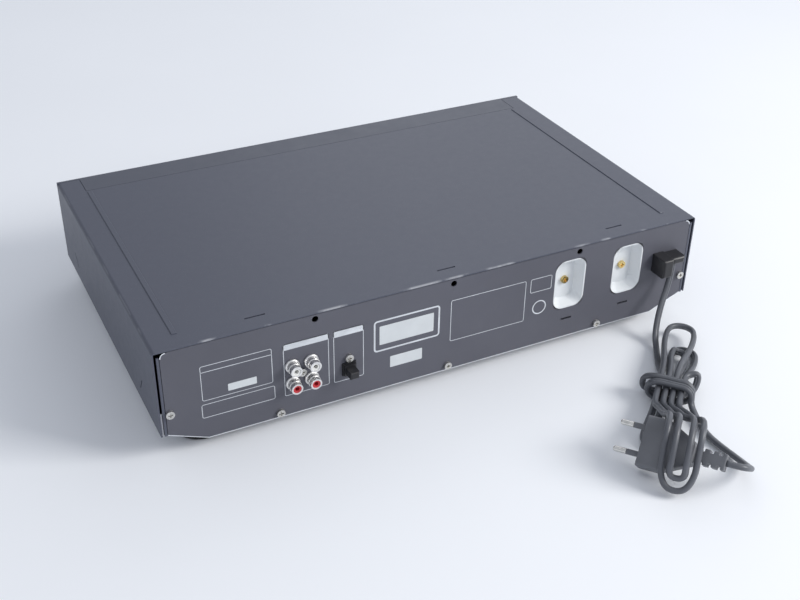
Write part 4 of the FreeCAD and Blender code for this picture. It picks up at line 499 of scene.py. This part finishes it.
def cord_route():
    hank, (end, end_way) = hank_route()
    tail_end = PLUG_FACE - PLUG_OUT * PLUG_LONG
    tail = [hank_point(end + end_way * TAIL_START)] + [hank_point(Vector(p)) for p in TAIL_RUN]
    return [Vector(p) for p in LEAD] + hank + tail + [tail_end - PLUG_OUT * TAIL_STRAIGHT, tail_end]


def centre_line(route):
    # The points of one smooth spline through the route's control points, in metres.
    data = bpy.data.curves.new("cord_line", "CURVE")
    data.dimensions = "3D"
    data.resolution_u = LINE_STEPS
    spline = data.splines.new("NURBS")
    spline.points.add(len(route) - 1)
    for point, place in zip(spline.points, route):
        point.co = (*(place * 0.001), 1)
    spline.order_u = 3
    spline.use_endpoint_u = True
    holder = bpy.data.objects.new("cord_line", data)
    bpy.context.scene.collection.objects.link(holder)
    mesh = bpy.data.meshes.new_from_object(holder)
    line = [v.co.copy() for v in mesh.vertices]
    bpy.data.objects.remove(holder)
    bpy.data.meshes.remove(mesh)
    kept = [line[0]]
    for place in line[1:]:
        if (place - kept[-1]).length > LEAST_STEP:
            kept.append(place)
    return kept


def cord_section():
    # A flat twin sheath: two round cores side by side with a groove between them on both faces.
    core = CORD_THICK / 2
    apart = CORD_WIDE / 2 - core
    half = []
    for k in range(CORE_STEPS + 1):
        angle = math.radians(CORE_SWEEP * k / CORE_STEPS - CORE_SWEEP / 2)
        half.append((apart + core * math.cos(angle), core * math.sin(angle)))
    half.append((0.0, core * GROOVE))
    return half + [(-x, -y) for x, y in half]


def flat_cord(name, line, materials):
    # The section carried along the line without twisting about it.
    shape = bmesh.new()
    section = cord_section()
    ahead = (line[1] - line[0]).normalized()
    wide = U
    rings = []
    for k, place in enumerate(line):
        before, after = line[max(0, k - 1)], line[min(len(line) - 1, k + 1)]
        heading = (after - before).normalized()
        wide = ahead.rotation_difference(heading) @ wide
        wide = (wide - heading * wide.dot(heading)).normalized()
        thick = heading.cross(wide)
        ahead = heading
        rings.append([shape.verts.new(place + (wide * x + thick * y) * 0.001) for x, y in section])
    add_bands(shape, rings)
    shape.faces.new(rings[0])
    shape.faces.new(rings[-1])
    return piece(name, finished_mesh(name, shape, smooth=True), materials, "cord")


def mains_cord(materials):
    line = centre_line(cord_route())
    cord = flat_cord("mains_cord", line, materials)
    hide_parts("cord_lead", "cord_hank", "cord_tail")


# Rear panel printing and trim

# A box is its left, right, top and lower edge as seen from behind.
PRINT_THICK, LABEL_THICK = 0.06, 0.1
LINE_WIDE, BOX_RADIUS = 0.45, 1.4
BOXES = [(185, 135, 69, 41), (186, 134, 38.2, 27), (127, 93.7, 69.2, 26.5), (90.2, 67.4, 69.2, 26.2),
         (-1.3, -63.9, 69.4, 34.5), (-67.8, -86.2, 69.4, 57.5)]
RULE_LEFT, RULE_RIGHT, RULE_Z = 185, 135, 64
HEADER_BANDS = [(127, 93.7, 69.2, 64.3), (90.2, 67.4, 69.2, 64)]
HEADER_RADIUS = 1.2
HEAVY_BOX, HEAVY_LINE, HEAVY_RADIUS = (59.6, 7.5, 68.5, 42.4), 1.3, 2.6
RING_X, RING_Z, RING_RADIUS, RING_LINE, RING_STEPS = -76.8, 43.4, 6, 0.9, 32
PALE_LABELS = [(166.8, 146.5, 49.8, 44.1), (55.2, 12.5, 63.4, 47.9), (46.8, 21.3, 35.9, 26.4)]
LABEL_RADIUS = 0.6
EDGE_LINE, CHASSIS_BEVEL, PANEL_CORNER = 0.7, 31.0, 4.0


def rounded(left, right, top, low, radius):
    # The outline of a box with round corners, as places on the rear panel.
    turns = ((left - radius, top - radius, 0), (right + radius, top - radius, 90),
             (right + radius, low + radius, 180), (left - radius, low + radius, 270))
    outline = []
    for x, z, start in turns:
        for k in range(5):
            angle = math.radians(start + 22.5 * k)
            outline.append((x + radius * math.cos(angle), z + radius * math.sin(angle)))
    return outline


def add_frame(shape, box, line, radius):
    left, right, top, low = box
    outer = rounded(left, right, top, low, radius)
    inner = rounded(left - line, right + line, top - line, low + line, max(0.2, radius - line))
    add_bands(shape, [add_row(shape, row, REAR + PRINT_THICK) for row in (outer, inner)])


def panel_printing(materials):
    shape = bmesh.new()
    face = REAR + PRINT_THICK
    for box in BOXES:
        add_frame(shape, box, LINE_WIDE, BOX_RADIUS)
    add_frame(shape, HEAVY_BOX, HEAVY_LINE, HEAVY_RADIUS)
    for band in HEADER_BANDS:
        add_sheet(shape, rounded(*band, HEADER_RADIUS), face)
    half = LINE_WIDE / 2
    add_slab(shape, RULE_RIGHT, RULE_LEFT, REAR, face, RULE_Z - half, RULE_Z + half)
    add_bands(shape, [add_row(shape, circle(RING_X, RING_Z, radius, RING_STEPS), face)
                      for radius in (RING_RADIUS, RING_RADIUS - RING_LINE)])
    piece("panel_printing", finished_mesh("panel_printing", shape), materials, "print_ink")


def panel_labels(materials):
    shape = bmesh.new()
    for label in PALE_LABELS:
        add_sheet(shape, rounded(*label, LABEL_RADIUS), REAR + LABEL_THICK)
    piece("panel_labels", finished_mesh("panel_labels", shape), materials, "label_paper")


def panel_edge(materials):
    # The sheet's cut lower edge and its round top corners show as bright metal.
    low, high = box_mm("rear_panel")
    side, top = high.x, high.z
    flat = box_mm("bottom_chassis")[1].x - CHASSIS_BEVEL
    face = REAR + PRINT_THICK
    shape = bmesh.new()
    row = [(-side, COVER_LOW.z), (-flat, low.z), (flat, low.z), (side, COVER_LOW.z)]
    for (x0, z0), (x1, z1) in zip(row, row[1:]):
        add_sheet(shape, [(x0, z0), (x1, z1), (x1, z1 + EDGE_LINE), (x0, z0 + EDGE_LINE)], face)
    inner = PANEL_CORNER - EDGE_LINE
    for way in (-1, 1):
        for k in range(6):
            start, end = math.radians(15 * k), math.radians(15 * k + 15)
            corner = [(way * (side - PANEL_CORNER + r * math.cos(a)), top - PANEL_CORNER + r * math.sin(a))
                      for r, a in ((PANEL_CORNER, start), (PANEL_CORNER, end), (inner, end), (inner, start))]
            add_sheet(shape, corner, face)
    piece("panel_edge", finished_mesh("panel_edge", shape), materials, "bare_metal")


# Moulded pieces and turned collars

SMOOTH_ROUNDS = 5
PLUG_VOXEL, RELIEF_VOXEL = 0.0004, 0.0003
SHELL_RADIUS = 4.15
TURNED_STEPS = 40

# Each row is a radius and its distance behind the rear panel.
COLLAR = [(4.1, 0.02), (5.3, 0.02), (5.4, 0.4), (5.3, 1.2), (4.9, 1.7), (4.3, 1.9)]
RIM = [(4.2, 4.6), (4.55, 4.7), (4.55, 5.4), (4.2, 5.5)]


def softened(name, node, voxel, materials, slot):
    # A moulded copy of a node, its sharp corners rounded as a moulding's are.
    mesh = nodes[node].data.copy()
    mesh.materials.clear()
    item = piece(name, mesh, materials, slot)
    remesh = item.modifiers.new("remesh", "REMESH")
    remesh.mode = "VOXEL"
    remesh.voxel_size = voxel
    remesh.use_smooth_shade = True
    smooth = item.modifiers.new("smooth", "SMOOTH")
    smooth.factor = 0.5
    smooth.iterations = SMOOTH_ROUNDS
    made = bpy.data.meshes.new_from_object(item.evaluated_get(bpy.context.evaluated_depsgraph_get()))
    item.modifiers.clear()
    item.data = made
    made.name = name
    made.materials.clear()
    made.materials.append(materials[slot])
    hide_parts(node)
    return item


def jack_collars(materials):
    low, high = box_mm("jack_shells")
    shape = bmesh.new()
    for x in (low.x + SHELL_RADIUS, high.x - SHELL_RADIUS):
        for z in (low.z + SHELL_RADIUS, high.z - SHELL_RADIUS):
            for profile in (COLLAR, RIM):
                add_bands(shape, [add_row(shape, circle(x, z, radius, TURNED_STEPS), REAR + reach)
                                  for radius, reach in profile])
    piece("jack_collars", finished_mesh("jack_collars", shape, smooth=True), materials, "chrome")


# Marks on the front

MARK_SIZE, MARK_LIFT = 2.4, 0.03
TRIANGLE = [(-0.5, -0.5), (0.5, 0), (-0.5, 0.5)]
LEFT_TRIANGLE = [(0.5, -0.5), (-0.5, 0), (0.5, 0.5)]
SQUARE = [(-0.45, -0.45), (0.45, -0.45), (0.45, 0.45), (-0.45, 0.45)]
BAR = [(-0.14, -0.5), (0.14, -0.5), (0.14, 0.5), (-0.14, 0.5)]
ROUND = circle(0, 0, 0.5, 20)
UP_TRIANGLE = [(-0.5, -0.2), (0.5, -0.2), (0, 0.5)]
UNDER_BAR = [(-0.5, -0.5), (0.5, -0.5), (0.5, -0.33), (-0.5, -0.33)]
KEY_MARKS = {
    "play_button": [(0, TRIANGLE)],
    "pause_button": [(-0.32, BAR), (0.32, BAR)],
    "stop_button": [(0, SQUARE)],
    "record_button": [(0, ROUND)],
    "rewind_button": [(-0.5, LEFT_TRIANGLE), (0.5, LEFT_TRIANGLE)],
    "forward_button": [(-0.5, TRIANGLE), (0.5, TRIANGLE)],
    "eject_button": [(0, UP_TRIANGLE), (0, UNDER_BAR)],
}
TICKS, FIRST_TICK, TICK_TURN = 11, 240, 30
TICK_HALF, TICK_NEAR, TICK_FAR, TICK_LIFT = 0.18, 1.4, 3.0, 0.04


def key_marks(materials):
    for node, outlines in KEY_MARKS.items():
        low, high = box_mm(node)
        face = min(v.co.y for v in nodes[node].data.vertices) * 1000 - MARK_LIFT
        mid_x, mid_z = (low.x + high.x) / 2, (low.z + high.z) / 2
        shape = bmesh.new()
        for shift, outline in outlines:
            add_sheet(shape, [(mid_x + (x + shift) * MARK_SIZE, mid_z + z * MARK_SIZE)
                              for x, z in outline], face)
        name = node.replace("button", "mark")
        piece(name, finished_mesh(name, shape), materials, "print_ink", BODY_OF[node])


def dial_marks(materials):
    # Ticks round each level knob.
    shape = bmesh.new()
    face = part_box("front_panel")[0].y * 1000 - TICK_LIFT
    for node in ("record_level_knob", "phones_level_knob"):
        low, high = box_mm(node)
        middle = Vector(((low.x + high.x) / 2, face, (low.z + high.z) / 2))
        radius = (high.z - low.z) / 2
        for k in range(TICKS):
            angle = math.radians(FIRST_TICK - TICK_TURN * k)
            out = Vector((math.cos(angle), 0, math.sin(angle)))
            across = Vector((out.z, 0, -out.x)) * TICK_HALF
            near_end, far_end = out * (radius + TICK_NEAR), out * (radius + TICK_FAR)
            shape.faces.new([shape.verts.new((middle + p) * 0.001) for p in
                             (near_end + across, far_end + across, far_end - across, near_end - across)])
    piece("dial_marks", finished_mesh("dial_marks", shape), materials, "print_ink")


# Floor and light

FLOOR_HALF, FLOOR_DROP = 6, 0.0002
LAMP_AIM = Vector((0, 0.05, 0.05))

# Each lamp's name, place and size in metres, power in watts, and colour.
LAMPS = (("key_light", (-1.5, 1.3, 1.2), 0.9, 38, (1.0, 0.985, 0.96)),
         ("fill_light", (1.6, 1.6, 1.5), 1.8, 2, (0.94, 0.97, 1.0)),
         ("back_light", (-1.4, -1.9, 1.5), 1.8, 9, (0.95, 0.97, 1.0)))
SKY_COLOUR, SKY_STRENGTH = (0.86, 0.9, 0.98, 1), 0.6


def studio_floor():
    made = Finish("floor", roughness=0.85)
    made.colour(made.tones(made.noise(3), (0.89, 0.91, 0.945), (0.91, 0.93, 0.965)))
    mesh = bpy.data.meshes.new("floor")
    corners = [(x * FLOOR_HALF, y * FLOOR_HALF, 0) for x, y in ((-1, -1), (1, -1), (1, 1), (-1, 1))]
    mesh.from_pydata(corners, [], [(0, 1, 2, 3)])
    mesh.materials.append(made.material)
    floor = bpy.data.objects.new("floor", mesh)
    floor.location.z = -FLOOR_DROP
    bpy.context.scene.collection.objects.link(floor)


def studio_light():
    for name, place, size, power, colour in LAMPS:
        data = bpy.data.lights.new(name, "AREA")
        data.size = size
        data.energy = power
        data.color = colour
        lamp = bpy.data.objects.new(name, data)
        lamp.location = place
        lamp.rotation_euler = (LAMP_AIM - Vector(place)).to_track_quat("-Z", "Y").to_euler()
        bpy.context.scene.collection.objects.link(lamp)
    world = bpy.data.worlds.new("studio")
    world.use_nodes = True
    sky = world.node_tree.nodes["Background"]
    sky.inputs["Color"].default_value = SKY_COLOUR
    sky.inputs["Strength"].default_value = SKY_STRENGTH
    bpy.context.scene.world = world
    bpy.context.scene.view_settings.view_transform = "Standard"


camera()
looks = finishes()
dress(looks)
panel_printing(looks)
panel_labels(looks)
panel_edge(looks)
plug = softened("moulded_plug", "plug_body", PLUG_VOXEL, looks, "plug")
mains_cord(looks)
softened("moulded_strain_relief", "strain_relief", RELIEF_VOXEL, looks, "black_plastic")
jack_collars(looks)
key_marks(looks)
dial_marks(looks)
studio_floor()
studio_light()
